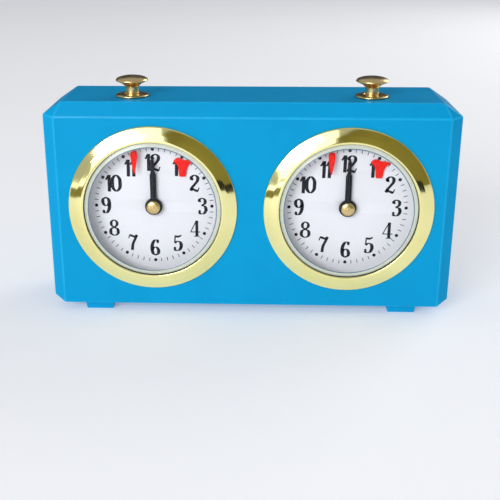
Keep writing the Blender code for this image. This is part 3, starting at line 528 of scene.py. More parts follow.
def see_through(name, share, colour, roughness):
    """Glass that lets light straight through: a clear sheet, glossier edge-on; or, with a share, a partly
    opaque colour laid on the lens rim as painted light and shade.
    """
    material = bpy.data.materials.new(name)
    material.use_nodes = True
    tree = material.node_tree
    tree.nodes.remove(tree.nodes["Principled BSDF"])
    output = tree.nodes["Material Output"]
    clear = tree.nodes.new("ShaderNodeBsdfTransparent")
    mix = tree.nodes.new("ShaderNodeMixShader")
    if share is None:
        face = tree.nodes.new("ShaderNodeBsdfGlossy")
        face.inputs["Roughness"].default_value = roughness
        face.inputs["Color"].default_value = (*colour, 1)
        edge_on = tree.nodes.new("ShaderNodeLayerWeight")
        edge_on.inputs["Blend"].default_value = 0.5
        steep = tree.nodes.new("ShaderNodeMath")
        steep.operation = "POWER"
        steep.inputs[1].default_value = GLASS_FALLOFF
        gloss = tree.nodes.new("ShaderNodeMath")
        gloss.operation = "MULTIPLY_ADD"
        gloss.inputs[1].default_value = 1 - GLASS_GLOSS
        gloss.inputs[2].default_value = GLASS_GLOSS
        tree.links.new(edge_on.outputs["Facing"], steep.inputs[0])
        tree.links.new(steep.outputs["Value"], gloss.inputs[0])
        tree.links.new(gloss.outputs["Value"], mix.inputs["Fac"])
    else:
        face = tree.nodes.new("ShaderNodeBsdfPrincipled")
        face.inputs["Roughness"].default_value = roughness
        face.inputs["Base Color"].default_value = (*colour, 1)
        mix.inputs["Fac"].default_value = share
    tree.links.new(clear.outputs["BSDF"], mix.inputs[1])
    tree.links.new(face.outputs["BSDF"], mix.inputs[2])
    tree.links.new(mix.outputs["Shader"], output.inputs["Surface"])
    return material


BLUE = blue_plastic()
BLUE_EDGE_HIGHLIGHT = rubbed_edge()
GOLD = gold_plate()
BRASS = turned_brass()
STEEL = plain_steel()
ENAMEL = dial_enamel()
INK = printing_ink()
BLACK = black_lacquer()
RED = red_enamel()
WALL_REFLECTION_PAINT = dial_wall()
LENS = see_through("lens_glass", None, (1, 1, 1), 0.02)
# Pale, partly opaque colour on the clear lens bevel: a painted reflection
LENS_EDGE = see_through("lens_edge", 0.6, (0.74, 0.79, 0.68), 0.15)
# Dark blue-grey, partly opaque ring where the flat of the lens meets its bevel: painted shade
LENS_LINE = see_through("lens_line", 0.85, (0.09, 0.17, 0.25), 0.2)
SHADE_RING = rubber_seal()


# ------------------------------------------------------------------------ case


def case_section(inset):
    half, low, high = HALF_WIDTH - inset, BASE_Z + inset, TOP_Z - inset
    right = [
        (half - BOTTOM_CORNER[0], low),
        (half, low + BOTTOM_CORNER[1]),
        (half, high - TOP_CORNER[1]),
        (half - TOP_CORNER[0], high),
    ]
    return right + [(-x, z) for x, z in reversed(right)]


def case_hull(name, inset, front, back, rear_chamfer, edge):
    """The chamfered block of the case, with rounded edges if edge isn't 0."""
    half, low = HALF_WIDTH - inset - SIDE_CHAMFER, BASE_Z + inset
    high = TOP_Z - inset - TOP_CHAMFER
    face = [(half, low), (half, high), (-half, high), (-half, low)]
    shape = bmesh.new()
    sections = (
        (face, front),
        (case_section(inset), front + CHAMFER_DEPTH),
        (case_section(inset), back - rear_chamfer),
        (case_section(inset + rear_chamfer), back),
    )
    for outline, depth in sections:
        for x, z in outline:
            shape.verts.new((x, FRONT_Y + depth, z))
    bmesh.ops.remove_doubles(shape, verts=shape.verts, dist=0.000001)
    bmesh.ops.convex_hull(shape, input=shape.verts)
    bmesh.ops.dissolve_limit(shape, angle_limit=math.radians(1), verts=shape.verts, edges=shape.edges)
    if edge:
        soften_edges(shape, edge)
    return mesh_of(shape, name)


def soften_edges(shape, width):
    """Rounds every edge, and gives the rounding the second material, which carries the painted edge
    highlight.
    """
    bmesh.ops.bevel(
        shape, geom=shape.edges, offset=width, segments=3, profile=0.5, affect="EDGES", material=1
    )


def drill(name, radius, place, *sides):
    """A round cutter that passes through one wall."""
    profile = [(0, WALL), (radius, WALL), (radius, -2 * WALL), (0, -2 * WALL)]
    return lathe(name, profile, place, *sides)


def even_shading(piece):
    """Keeps broad flat faces flat beside their narrow rounded edges."""
    even = piece.modifiers.new("even_faces", "WEIGHTED_NORMAL")
    even.keep_sharp = True


def make_case():
    body = case_hull("case_body", 0, 0, CASE_DEPTH, REAR_CHAMFER, EDGE_RADIUS)
    body.materials.append(BLUE)
    body.materials.append(BLUE_EDGE_HIGHLIGHT)
    cutters = [case_hull("cavity", WALL, WALL, CASE_DEPTH + WALL, 0, 0)]
    for side in SIDES:
        centre = middle(f"{side}_bezel")
        cutters.append(drill("opening", OPENING_RADIUS, facing_front(centre.x, centre.z)))
        bush = middle(f"{side}_button_bush")
        cutters.append(drill("bush_hole", BUSH_HOLE, Matrix.Translation((bush.x, bush.y, TOP_Z)), 48))
    mesh = boolean(body, cutters, "DIFFERENCE")
    piece = add_piece("case_body", mesh, CASE_BODY, [BLUE])
    even_shading(piece)
    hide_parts("case_shell")


def make_feet():
    for end in ("front", "rear"):
        for side in SIDES:
            node = f"foot_{end}_{side}"
            low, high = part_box(node)
            top = BASE_Z - CLEAR
            shape = bmesh.new()
            centre = (low + high) / 2
            size = high - low
            place = Matrix.Translation((centre.x, centre.y, top / 2))
            place = place @ Matrix.Diagonal((size.x, size.y, 1, 1))
            place = place @ Matrix.Rotation(math.radians(45), 4, "Z")
            half = math.sqrt(2) / 2
            bmesh.ops.create_cone(
                shape, cap_ends=True, segments=4, radius1=half * 0.92, radius2=half, depth=top, matrix=place
            )
            soften_edges(shape, EDGE_RADIUS)
            piece = add_piece(f"rounded_{node}", mesh_of(shape, node), CASE_BODY, [BLUE, BLUE_EDGE_HIGHLIGHT])
            even_shading(piece)
            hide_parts(node)


# ------------------------------------------------------------ bezels and lenses


def make_bezel(side, place):
    shoulder = (BEZEL_RADIUS + LIP_RADIUS) / 2
    outer = [
        (LIP_RADIUS, BEZEL_PROUD - 0.45 * MM),
        (LIP_RADIUS + 0.12 * MM, BEZEL_PROUD),
        (LIP_RADIUS + 1.1 * MM, BEZEL_PROUD),
        (shoulder, BEZEL_PROUD * 0.75),
        (BEZEL_RADIUS - 0.4 * MM, 0.95 * MM),
        (BEZEL_RADIUS, 0.7 * MM),
        (BEZEL_RADIUS, CLEAR / 2),
    ]
    front = softened(outer, 0.35 * MM, 5)
    inside = [
        (SKIRT_OUTER, CLEAR / 2),
        (SKIRT_OUTER, CLEAR - DIAL_FRONT),
        (SKIRT_INNER, CLEAR - DIAL_FRONT),
        (SKIRT_INNER, 2.6 * MM),
        (LIP_RADIUS, 2.6 * MM),
    ]
    profile = front + inside
    # The skirt's inner wall takes the second material, the pale painted reflection
    wall = len(front) + 2
    mesh = lathe("bezel", profile, place, 144, True, [(wall, wall, 1)])
    piece = add_piece(f"{side}_polished_bezel", mesh, CASE_BODY, [GOLD, WALL_REFLECTION_PAINT], 40)
    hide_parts(f"{side}_bezel")


def make_lens(side, place):
    line = LENS_FLAT_RADIUS + LENS_LINE_WIDTH
    front, back = 2.3 * MM, 0.9 * MM
    profile = [
        (0, front),
        (LENS_FLAT_RADIUS, front),
        (LENS_FLAT_RADIUS + LENS_LINE_WIDTH / 2, front - 0.12 * MM),
        (line, front - 0.02 * MM),
        (LIP_RADIUS - SHADE_RING_WIDTH, 1.75 * MM),
        (LENS_RADIUS, 1.5 * MM),
        (LENS_RADIUS, back),
        (LIP_RADIUS - SHADE_RING_WIDTH, back),
        (line, back),
        (0, back),
    ]
    # Spans 1-2: dark blue-grey line, painted shade; spans 3 and 7: pale bevel, painted reflection; spans 4-6:
    # dark rim, painted shade
    zones = [(1, 2, 2), (3, 3, 1), (4, 6, 3), (7, 7, 1)]
    mesh = lathe("lens", profile, place, 144, False, zones)
    piece = add_piece(f"{side}_bevelled_lens", mesh, CASE_BODY, [LENS, LENS_EDGE, LENS_LINE, SHADE_RING], 20)
    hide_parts(f"{side}_lens")


# -------------------------------------------------------------------- the dials

# A numeral is drawn in a box 1 high by its strokes: centre lines with a thick and a thin width,
# thick where the stroke runs upright and thin where it runs level, and round ball ends.
THICK = 0.20
THIN = 0.055
NUMERAL_STROKES = {
    "0": [("loop", [(0.28, 0.97), (0.47, 0.78), (0.50, 0.5), (0.47, 0.22), (0.28, 0.03), (0.09, 0.22),
                    (0.06, 0.5), (0.09, 0.78)], THICK)],
    "1": [("line", [(0.20, 0.99), (0.19, 0.5), (0.18, 0.0)], THICK * 0.95),
          ("line", [(0.0, 0.70), (0.07, 0.80), (0.15, 0.96)], THICK * 0.62)],
    "2": [("line", [(0.10, 0.70), (0.09, 0.85), (0.26, 0.965), (0.43, 0.86), (0.43, 0.66), (0.28, 0.44),
                    (0.12, 0.24), (0.04, 0.05)], THICK * 0.95),
          ("slab", [(0.04, 0.06), (0.15, 0.14), (0.31, 0.07), (0.44, 0.06), (0.52, 0.24)], THICK * 0.8),
          ("ball", [(0.125, 0.735)], 0.16)],
    "3": [("line", [(0.10, 0.76), (0.10, 0.88), (0.25, 0.965), (0.41, 0.86), (0.40, 0.66), (0.22, 0.53)],
           THICK * 0.9),
          ("line", [(0.20, 0.53), (0.40, 0.47), (0.47, 0.27), (0.36, 0.07), (0.18, 0.03), (0.06, 0.14)],
           THICK),
          ("ball", [(0.125, 0.79)], 0.14), ("ball", [(0.10, 0.19)], 0.15)],
    "4": [("line", [(0.37, 0.98), (0.37, 0.5), (0.37, 0.01)], THICK * 0.85),
          ("line", [(0.35, 0.97), (0.18, 0.63), (0.02, 0.30)], THIN),
          ("line", [(0.0, 0.285), (0.3, 0.285), (0.57, 0.285)], THIN * 1.3),
          ("line", [(0.22, 0.02), (0.37, 0.03), (0.52, 0.02)], THIN * 1.2)],
    "5": [("line", [(0.12, 0.93), (0.11, 0.72), (0.10, 0.49)], THIN * 1.4),
          ("slab", [(0.11, 0.92), (0.25, 0.89), (0.38, 0.91), (0.48, 0.98)], THICK * 0.62),
          ("line", [(0.10, 0.50), (0.26, 0.60), (0.43, 0.52), (0.47, 0.30), (0.37, 0.08), (0.18, 0.03),
                    (0.06, 0.14)], THICK),
          ("ball", [(0.10, 0.19)], 0.15)],
    "6": [("line", [(0.43, 0.85), (0.36, 0.955), (0.22, 0.93), (0.10, 0.72), (0.065, 0.42), (0.12, 0.14),
                    (0.27, 0.03)], THICK),
          ("line", [(0.27, 0.03), (0.42, 0.14), (0.44, 0.34), (0.33, 0.51), (0.18, 0.50), (0.08, 0.36)],
           THICK * 0.95),
          ("ball", [(0.415, 0.83)], 0.13)],
    "7": [("slab", [(0.03, 0.76), (0.10, 0.93), (0.24, 0.91), (0.38, 0.87), (0.52, 0.97)], THICK * 0.72),
          ("line", [(0.52, 0.97), (0.40, 0.70), (0.27, 0.40), (0.22, 0.03)], THICK * 0.85)],
    "8": [("line", [(0.27, 0.53), (0.12, 0.64), (0.11, 0.84), (0.27, 0.965), (0.43, 0.84), (0.42, 0.66),
                    (0.27, 0.53)], THICK * 0.8),
          ("line", [(0.27, 0.53), (0.08, 0.40), (0.07, 0.15), (0.27, 0.03), (0.47, 0.15), (0.46, 0.40),
                    (0.27, 0.53)], THICK * 0.9)],
    "9": [("line", [(0.11, 0.15), (0.18, 0.045), (0.32, 0.07), (0.44, 0.28), (0.475, 0.58), (0.42, 0.86),
                    (0.27, 0.97)], THICK),
          ("line", [(0.27, 0.97), (0.12, 0.86), (0.10, 0.66), (0.21, 0.49), (0.36, 0.50), (0.46, 0.64)],
           THICK * 0.95),
          ("ball", [(0.125, 0.17)], 0.13)],
}
NUMERAL_WIDTHS = {"0": 0.56, "1": 0.31, "2": 0.54, "3": 0.52, "4": 0.57, "5": 0.52, "6": 0.52, "7": 0.54,
                  "8": 0.54, "9": 0.54}
DIGIT_SPACE = 0.0


def stroke_outline(kind, points, width, scale, origin):
    """Both edges of a stroke, as one closed outline."""
    if kind == "ball":
        centre = (origin[0] + points[0][0] * scale, origin[1] + points[0][1] * scale)
        return circle(width * scale / 2, 20, centre)
    line = smooth_line(points, 8, kind == "loop")
    count = len(line)
    left, right = [], []
    for index, here in enumerate(line):
        if kind == "loop":
            along = line[(index + 1) % count] - line[index - 1]
        else:
            along = line[min(index + 1, count - 1)] - line[max(index - 1, 0)]
        along.normalize()
        upright = abs(along.y)
        share = upright**1.6 if kind != "slab" else 1 - upright**1.6
        half = (THIN + max(width - THIN, 0) * share) / 2
        across = Vector((-along.y, along.x)) * half
        left.append((origin[0] + (here.x + across.x) * scale, origin[1] + (here.y + across.y) * scale))
        right.append((origin[0] + (here.x - across.x) * scale, origin[1] + (here.y - across.y) * scale))
    return left, right


def add_prism(shape, outline, low, high):
    """A thin closed slab with this outline."""
    bottom = [shape.verts.new((x, y, low)) for x, y in outline]
    top = [shape.verts.new((x, y, high)) for x, y in outline]
    count = len(outline)
    shape.faces.new(top)
    shape.faces.new(list(reversed(bottom)))
    for index in range(count):
        after = (index + 1) % count
        shape.faces.new((bottom[index], bottom[after], top[after], top[index]))


def add_ribbon(shape, left, right, low, high, closed):
    """A thin closed slab between two edges, made of four-cornered lengths."""
    rows = []
    for first, second in zip(left, right):
        rows.append([shape.verts.new((*point, z)) for z in (high, low) for point in (first, second)])
    pairs = list(zip(rows, rows[1:]))
    if closed:
        pairs.append((rows[-1], rows[0]))
    for a, b in pairs:
        shape.faces.new((a[0], b[0], b[1], a[1]))
        shape.faces.new((a[2], a[3], b[3], b[2]))
        shape.faces.new((a[0], a[2], b[2], b[0]))
        shape.faces.new((a[1], b[1], b[3], a[3]))
    if not closed:
        for row in (rows[0], rows[-1]):
            shape.faces.new((row[0], row[1], row[3], row[2]))


def add_numeral(shape, text, centre, low, high):
    width = sum(NUMERAL_WIDTHS[digit] for digit in text) + DIGIT_SPACE * (len(text) - 1)
    x = centre[0] - width * NUMERAL_HEIGHT / 2
    y = centre[1] - NUMERAL_HEIGHT / 2
    for digit in text:
        for kind, points, pen in NUMERAL_STROKES[digit]:
            outline = stroke_outline(kind, points, pen, NUMERAL_HEIGHT, (x, y))
            if kind == "ball":
                add_prism(shape, outline, low, high)
            else:
                add_ribbon(shape, *outline, low, high, kind == "loop")
        x += (NUMERAL_WIDTHS[digit] + DIGIT_SPACE) * NUMERAL_HEIGHT


def make_dial(side, place):
    outlines = [circle(DIAL_RADIUS, 144), circle(DIAL_BORE, 48)]
    for joint, radius in ((f"{side}_flag_lift", FLAG_HOLE), (f"{side}_pallet_rock", INDICATOR_HOLE)):
        offset = place.inverted() @ joint_place(joint).translation
        outlines.append(circle(radius, 32, (offset.x, offset.y)))
    mesh = flat_mesh("dial", outlines, DIAL_FRONT, DIAL_FRONT + DIAL_THICKNESS, place)
    piece = add_piece(f"{side}_enamel_dial", mesh, CASE_BODY, [ENAMEL])
    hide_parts(f"{side}_dial")
    low, high = -DIAL_FRONT, -DIAL_FRONT + PRINT_HEIGHT
    shape = bmesh.new()
    for hour in range(1, 13):
        angle = 90 - 30 * hour
        radius = NUMERAL_RADIUS - NUMERAL_DROP * math.sin(math.radians(angle)) ** 2
        if hour > 9:
            radius -= PAIR_SHIFT * abs(math.cos(math.radians(angle)))
        add_numeral(shape, str(hour), polar(radius, angle), low, high)
    add_piece(f"{side}_numerals", mesh_of(shape, "numerals", place), CASE_BODY, [INK], None)
    shape = bmesh.new()
    for minute in range(60):
        angle = 90 - 6 * minute
        if minute % 5 == 0:
            add_prism(shape, circle(DOT_RADIUS, 24, polar(DOT_CIRCLE, angle)), low, high)
            continue
        inner, outer = Vector(polar(TICK_INNER, angle)), Vector(polar(TICK_OUTER, angle))
        across = Vector(polar(TICK_WIDTH / 2, angle + 90))
        outline = [tuple(p) for p in (inner - across, outer - across, outer + across, inner + across)]
        add_prism(shape, outline, low, high)
    add_piece(f"{side}_minute_track", mesh_of(shape, "track", place), CASE_BODY, [INK], None)


# ------------------------------------------------- hands, flags and indicators


def hand_outline(length, width, hub):
    half = width / 2
    join = math.degrees(math.acos(half / hub))
    outline = arc(hub, 180 - join, 180 + 2 * join, 48)
    shoulder = length - HAND_TAPER_SHARE * half
    tip = HAND_TIP_SHARE * half
    return outline + [(half, shoulder), (tip, length), (-tip, length), (-half, shoulder)]


def make_hands(side, place):
    hands = (("hour_hand", "hour", HOUR_HAND), ("minute_hand", "minute", MINUTE_HAND))
    for node, body, (front, length, width, hub, bore) in hands:
        outlines = [hand_outline(length, width, hub), circle(bore, 48)]
        mesh = flat_mesh(node, outlines, front, front + HAND_THICKNESS, place, 0.12 * MM)
        piece = add_piece(f"{side}_lacquered_{node}", mesh, f"{side}_{body}", [BLACK])
        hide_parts(f"{side}_{node}")
    dome = [(0, -1.02 * MM), (0.55 * MM, -1.04 * MM), (0.7 * MM, -1.2 * MM)]
    for degrees in range(18, 91, 8):
        angle = math.radians(degrees)
        height = -NUT_DOME_CENTRE + NUT_DOME_HEIGHT * math.cos(angle)
        dome.append((NUT_RADIUS * math.sin(angle), height))
    dome += [(NUT_RADIUS, -NUT_BACK), (NUT_BORE, -NUT_BACK), (NUT_BORE, -1.7 * MM), (0, -1.7 * MM)]
    mesh = lathe("nut", dome, place, 64)
    piece = add_piece(f"{side}_domed_nut", mesh, f"{side}_minute", [BRASS], 50)
    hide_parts(f"{side}_hand_nut")


def joint_place(name):
    """Where a hinge's axis meets the case front, ready for a piece made about local Z."""
    joint = next(j for j in frame["joints"] if j["name"] == name)
    return facing_front(joint["pos_m"][0], joint["pos_m"][2])


def make_flag(side):
    place = joint_place(f"{side}_flag_lift")
    left = smooth_edge(-FLAG_HALF_WIDTH, FLAG_LENGTH)
    right = smooth_edge(FLAG_HALF_WIDTH, FLAG_LENGTH)
    outline = arc(FLAG_HALF_WIDTH, 0, 180, 16) + left + list(reversed(right))
    mesh = flat_mesh("flag", [outline], *FLAG_DEPTHS, place, 0.08 * MM)
    piece = add_piece(f"{side}_red_flag", mesh, f"{side}_flag", [RED])
    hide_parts(f"{side}_flag")
    back = -DIAL_FRONT - DIAL_THICKNESS - FLAG_RIVET_END
    rivet = [(0, -1.75 * MM), (0.8 * MM, -1.8 * MM), (1.0 * MM, -1.95 * MM), (FLAG_ARBOR, -1.95 * MM),
             (FLAG_ARBOR, back), (0, back)]
    add_piece(f"{side}_flag_arbor", lathe("arbor", rivet, place, 32), f"{side}_flag", [RED], 40)


def smooth_edge(half, length):
    """One side of the flag, narrowing to its point."""
    points = []
    for step in range(1, FLAG_STEPS + 1):
        share = step / FLAG_STEPS
        points.append((half * (1 - share**1.5 * FLAG_NARROWING), -length * step / FLAG_STEPS))
    return points


def make_indicator(side):
    """The funnel-shaped running indicator: a narrow stem that opens into two lobes."""
    place = joint_place(f"{side}_pallet_rock")
    left_half = [(-1.2, 7.15), (-2.6, 7.0), (-3.85, 5.95), (-3.5, 5.1), (-2.2, 3.7), (-1.7, 1.2)]
    left_half.append((-1.5, -1.2))
    bottom = [(-1.1, -1.7), (1.1, -1.7)]
    right_half = [(1.6, -1.2), (2.2, 2.0), (3.3, 4.0), (4.85, 5.0), (4.5, 5.75), (2.6, 6.15)]
    right_half.append((0.6, 6.35))
    points = [(x * MM, y * MM) for x, y in left_half + bottom + right_half]
    outline = [tuple(p) for p in smooth_line(points, 6, True)]
    outlines = [outline, circle(INDICATOR_BORE, 24)]
    mesh = flat_mesh("indicator", outlines, *INDICATOR_DEPTHS, place, 0.08 * MM)
    piece = add_piece(f"{side}_red_indicator", mesh, f"{side}_pallets", [RED])
    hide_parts(f"{side}_running_indicator")
    cap = [(0, -4.45 * MM), (0.9 * MM, -4.55 * MM), (1.25 * MM, -4.6 * MM), (0, -4.6 * MM)]
    mesh = lathe("cap", cap, place, 32)
    add_piece(f"{side}_indicator_cap", mesh, f"{side}_pallets", [RED], 60)


# --------------------------------------------------------------------- buttons


def make_button(side):
    low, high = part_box(f"{side}_button")
    centre = (low + high) / 2
    place = Matrix.Translation((centre.x, centre.y, TOP_Z))
    cap, crown, stem = BUTTON_CAP_RADIUS, high.z - TOP_Z, BUTTON_STEM_RADIUS
    foot = low.z - TOP_Z
    collar = foot + BUTTON_COLLAR_RISE
    rim = crown - BUTTON_DOME_HEIGHT
    dome = []
    for degrees in range(0, 86, 6):
        angle = math.radians(degrees)
        dome.append((cap * math.sin(angle) * 0.985, rim + BUTTON_DOME_HEIGHT * math.cos(angle)))
    underside = [
        (cap, rim),
        (cap, crown - 2.35 * MM),
        (cap * 0.95, crown - 2.55 * MM),
        (stem * 1.5, crown - 3.6 * MM),
        (stem * 1.02, crown - 4.9 * MM),
        (stem, crown - 6 * MM),
    ]
    profile = dome + softened(underside, 0.6 * MM, 4)
    profile += [(stem, collar), (stem * 1.45, collar), (stem * 1.45, collar - MM), (stem, collar - MM),
                (stem, foot), (0, foot)]
    mesh = lathe("button", profile, place, 72)
    piece = add_piece(f"{side}_mushroom_button", mesh, f"{side}_button", [BRASS], 40)
    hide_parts(f"{side}_button")
    flange = [
        (BUSH_BORE, 1.15 * MM),
        (3.9 * MM, 1.5 * MM),
        (6.6 * MM, 1.25 * MM),
        (7.6 * MM, 0.9 * MM),
        (7.7 * MM, CLEAR),
        (BUSH_BARREL, CLEAR),
        (BUSH_BARREL, -BUSH_DEPTH),
        (BUSH_BORE, -BUSH_DEPTH),
    ]
    mesh = lathe("bush", softened(flange, 0.25 * MM, 3, True), place, 72, True)
    piece = add_piece(f"{side}_flanged_bush", mesh, CASE_BODY, [BRASS], 40)
    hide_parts(f"{side}_button_bush")


# --------------------------------------------------------------------- the back


def make_cover():
    low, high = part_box("back_cover")
    shape = bmesh.new()
    inset = case_high.x - high.x
    outline = case_section(inset)
    for depth in (low.y, high.y):
        for x, z in outline:
            shape.verts.new((x, depth, z))
    bmesh.ops.convex_hull(shape, input=shape.verts)
    bmesh.ops.dissolve_limit(shape, angle_limit=math.radians(1), verts=shape.verts, edges=shape.edges)
    soften_edges(shape, COVER_EDGE)
    body = mesh_of(shape, "cover")
    body.materials.append(BLUE)
    body.materials.append(BLUE_EDGE_HIGHLIGHT)
    cutters = []
    for side in SIDES:
        for node, radius in ((f"{side}_setting_knob", KNOB_HOLE), (f"{side}_winding_arbor", KEY_HOLE)):
            centre = middle(node)
            place = facing_back(centre.x, centre.z, high.y - FRONT_Y)
            cutters.append(drill("hole", radius, place, 48))
    for row in ("low", "high"):
        for side in SIDES:
            centre = middle(f"back_screw_{side}_{row}")
            place = facing_back(centre.x, centre.z, high.y - FRONT_Y)
            cutters.append(drill("hole", SCREW_HOLE, place, 32))
    piece = add_piece("bevelled_back_cover", boolean(body, cutters, "DIFFERENCE"), CASE_BODY, [BLUE])
    even_shading(piece)
    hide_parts("back_cover")


def fluted(name, profile, place, ribs, groove):
    """A turned mesh whose widest part is fluted, like a knurled knob."""
    sides = ribs * 8
    widest = max(radius for radius, height in profile)
    shape = bmesh.new()
    rings = []
    for radius, height in profile:
        ring = []
        for side in range(sides):
            angle = 360 * side / sides
            share = (radius / widest) ** 8
            dip = groove * share * abs(math.sin(math.radians(angle * ribs / 2))) ** 3
            ring.append(shape.verts.new((*polar(radius - dip, angle), height)))
        rings.append(ring)
    for first, second in zip(rings, rings[1:]):
        for side in range(sides):
            after = (side + 1) % sides
            shape.faces.new((first[side], first[after], second[after], second[side]))
    shape.faces.new(rings[0])
    shape.faces.new(list(reversed(rings[-1])))
    return mesh_of(shape, name, place)


def make_knob(side):
    """The knurled knob that sets the hands."""
    low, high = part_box(f"{side}_setting_knob")
    centre = (low + high) / 2
    place = facing_back(centre.x, centre.z, low.y - FRONT_Y)
    radius, length = (high.x - low.x) / 2, high.y - low.y
    outer = [
        (radius * 0.55, 0),
        (radius * 0.93, 0),
        (radius, 0.5 * MM),
        (radius, length - 0.6 * MM),
        (radius * 0.92, length),
        (radius * 0.55, length),
        (radius * 0.45, length - 0.5 * MM),
        (radius * 0.22, length - 0.6 * MM),
    ]
    mesh = fluted("knob", softened(outer, 0.25 * MM, 3), place, KNOB_RIBS, KNOB_GROOVE)
    piece = add_piece(f"{side}_knurled_knob", mesh, f"{side}_minute", [BRASS], 40)
    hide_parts(f"{side}_setting_knob")


def make_key(side):
    """The butterfly key that winds the spring: a turned hub and two pierced wings."""
    low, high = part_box(f"{side}_winding_key")
    arbor = middle(f"{side}_winding_arbor")
    place = facing_back(arbor.x, arbor.z, low.y - FRONT_Y)
    length = high.y - low.y
    hub = softened(
        [(0, 0), (KEY_HUB_RADIUS, 0), (KEY_HUB_RADIUS, 1.2 * MM), (3.3 * MM, 1.9 * MM), (3.3 * MM, 4.2 * MM),
         (2.5 * MM, 5.4 * MM), (2.3 * MM, length - 1.4 * MM), (1.4 * MM, length - 0.7 * MM),
         (0, length - 0.6 * MM)],
        0.4 * MM,
        3,
    )
    key = lathe("key_hub", hub, place, 48)
    reach, wing = (high.x - low.x) / 2, KEY_WING_RADIUS
    eye = reach - wing
    outline = arc(wing, -140, 280, 28, (eye, 0)) + arc(wing, 40, 280, 28, (-eye, 0))
    outline = softened(outline, 0.3 * MM, 3, True)
    middle_depth = Matrix.Translation((arbor.x, high.y - wing, arbor.z))
    holes = [circle(KEY_EYE_RADIUS, 24, (sign * eye, 0)) for sign in (-1, 1)]
    half = KEY_WING_HALF_THICKNESS
    wings = flat_mesh("key_wings", [outline, *holes], -half, half, middle_depth, 0.3 * MM)
    piece = add_piece(f"{side}_butterfly_key", key, f"{side}_winding", [BRASS], 40)
    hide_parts(f"{side}_winding_key")
    blade = add_piece(f"{side}_key_wings", wings, f"{side}_winding", [BRASS], 40)


def make_screws():
    """Slotted round-head screws at the corners of the back cover."""
    for row in ("low", "high"):
        for side in SIDES:
            node = f"back_screw_{side}_{row}"
            low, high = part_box(node)
            centre = (low + high) / 2
            radius = (high.x - low.x) / 2
            place = facing_back(centre.x, centre.z, high.y - FRONT_Y)
            profile = []
            for degrees in range(0, 91, 9):
                angle = math.radians(degrees)
                height = SCREW_DOME_HEIGHT * math.cos(angle) - SCREW_DOME_HEIGHT
                profile.append((radius * math.sin(angle), height))
            profile += [
                (radius, -SCREW_HEAD_DEPTH),
                (SCREW_SHANK_RADIUS, -SCREW_HEAD_DEPTH),
                (SCREW_SHANK_RADIUS, low.y - high.y),
                (0, low.y - high.y),
            ]
            slot = bevelled_box(
                "slot",
                (centre.x - radius, high.y - SCREW_SLOT_DEPTH, centre.z - SCREW_SLOT_HALF),
                (centre.x + radius, high.y + MM, centre.z + SCREW_SLOT_HALF),
                0.1 * MM,
                1,
            )
            mesh = boolean(lathe("screw", profile, place, 48), [slot], "DIFFERENCE")
            piece = add_piece(f"slotted_screw_{side}_{row}", mesh, CASE_BODY, [STEEL], 40)
            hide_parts(node)


def paint_carried_nodes():
    """Gives every CAD node that still shows its procedural material."""
    looks = (
        (("plate", "wheel", "key", "knob"), BRASS),
        (("screw", "arbor", "mainspring", "pallet_fork", "rocker"), STEEL),
    )
    for name, node in frame["nodes"].items():
        for words, look in looks:
            if any(word in name for word in words):
                node.data.materials.clear()
                node.data.materials.append(look)


# ------------------------------------------------------------- stage and lights


def plain_material(name, colour, roughness):
    look = Surface(name, colour, 0, roughness)
    look.vary_roughness(look.noise(3), roughness - 0.05, roughness + 0.05)
    return look.material


def make_card(name, place, size, turn, colour, glow):
    """An upright card that only shows in reflections: centre, width and height, turn about Z."""
    shape = bmesh.new()
    bmesh.ops.create_grid(shape, x_segments=1, y_segments=1, size=0.5)
    mesh = bpy.data.meshes.new(name)
    shape.to_mesh(mesh)
    shape.free()
    paper = plain_material(f"{name}_paper", colour, 0.8)
    sockets = paper.node_tree.nodes["Principled BSDF"].inputs
    sockets["Emission Color"].default_value = (*colour, 1)
    sockets["Emission Strength"].default_value = glow
    mesh.materials.append(paper)
    card = bpy.data.objects.new(name, mesh)
    card.location = place
    card.scale = (*size, 1)
    card.rotation_euler = (math.radians(90), 0, math.radians(turn))
    card.visible_camera = False
    card.visible_shadow = False
    card.visible_diffuse = False
    bpy.context.scene.collection.objects.link(card)


def make_stage():
    shape = bmesh.new()
    bmesh.ops.create_grid(shape, x_segments=1, y_segments=1, size=FLOOR_SIZE)
    mesh = bpy.data.meshes.new("floor")
    shape.to_mesh(mesh)
    shape.free()
    paper = plain_material("floor_paper", FLOOR_COLOUR, 0.7)
    glow = paper.node_tree.nodes["Principled BSDF"].inputs
    glow["Emission Color"].default_value = FLOOR_GLOW_COLOUR
    glow["Emission Strength"].default_value = FLOOR_GLOW
    mesh.materials.append(paper)
    floor = bpy.data.objects.new("floor", mesh)
    bpy.context.scene.collection.objects.link(floor)
    for card in CARDS:
        make_card(*card)


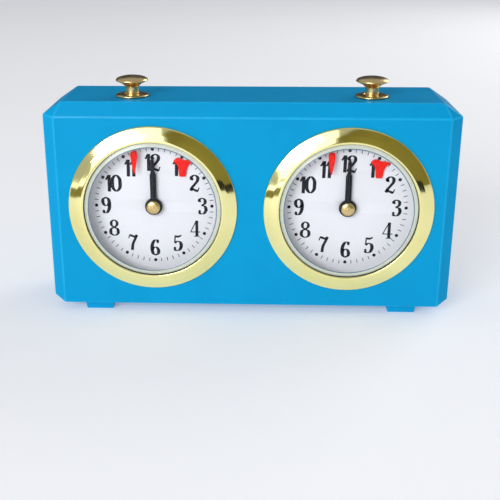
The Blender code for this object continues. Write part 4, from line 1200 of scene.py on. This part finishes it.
def area_light(name, place, size, power):
    light = bpy.data.lights.new(name, "AREA")
    light.shape = "RECTANGLE"
    light.size, light.size_y = size
    light.energy = power
    lamp = bpy.data.objects.new(name, light)
    lamp.location = place
    lamp.rotation_euler = (Vector(LIGHT_TARGET) - Vector(place)).to_track_quat("-Z", "Y").to_euler()
    bpy.context.scene.collection.objects.link(lamp)


def make_lights():
    world = bpy.data.worlds.new("studio")
    world.use_nodes = True
    backdrop = world.node_tree.nodes["Background"]
    backdrop.inputs["Color"].default_value = SKY_COLOUR
    backdrop.inputs["Strength"].default_value = SKY_STRENGTH
    bpy.context.scene.world = world
    for lamp in LIGHTS:
        area_light(*lamp)


# ---------------------------------------------------------------------- camera

SENSOR_WIDTH = 36
FOCAL_LENGTH = 64.656
CAMERA_DISTANCE = 451.8 * MM
CAMERA_YAW = 2.315
CAMERA_PITCH = 20.32
CAMERA_ROLL = 0.148
AIM = (-12.8 * MM, 0, 22.4 * MM)
SHIFT_X = 0.05


def make_camera():
    camera = bpy.data.cameras.new("camera")
    camera.sensor_width = SENSOR_WIDTH
    camera.lens = FOCAL_LENGTH
    camera.shift_x = SHIFT_X
    camera.clip_start = 0.01
    holder = bpy.data.objects.new("camera", camera)
    turn = (
        Matrix.Rotation(math.radians(CAMERA_YAW), 4, "Z")
        @ Matrix.Rotation(math.radians(-CAMERA_PITCH), 4, "X")
        @ Matrix.Rotation(math.radians(CAMERA_ROLL), 4, "Y")
    )
    forward = turn @ Vector((0, 1, 0))
    look = turn @ Matrix.Rotation(math.radians(90), 4, "X")
    holder.matrix_world = Matrix.Translation(Vector(AIM) - forward * CAMERA_DISTANCE) @ look
    bpy.context.scene.collection.objects.link(holder)
    bpy.context.scene.camera = holder


bpy.context.scene.view_settings.view_transform = "Standard"
make_case()
make_feet()
for clock_side in SIDES:
    bezel_centre = middle(f"{clock_side}_bezel")
    dial_place = facing_front(bezel_centre.x, bezel_centre.z)
    make_bezel(clock_side, dial_place)
    make_lens(clock_side, dial_place)
    make_dial(clock_side, dial_place)
    make_hands(clock_side, dial_place)
    make_flag(clock_side)
    make_indicator(clock_side)
    make_button(clock_side)
    make_knob(clock_side)
    make_key(clock_side)
make_cover()
make_screws()
paint_carried_nodes()
make_stage()
make_lights()
make_camera()
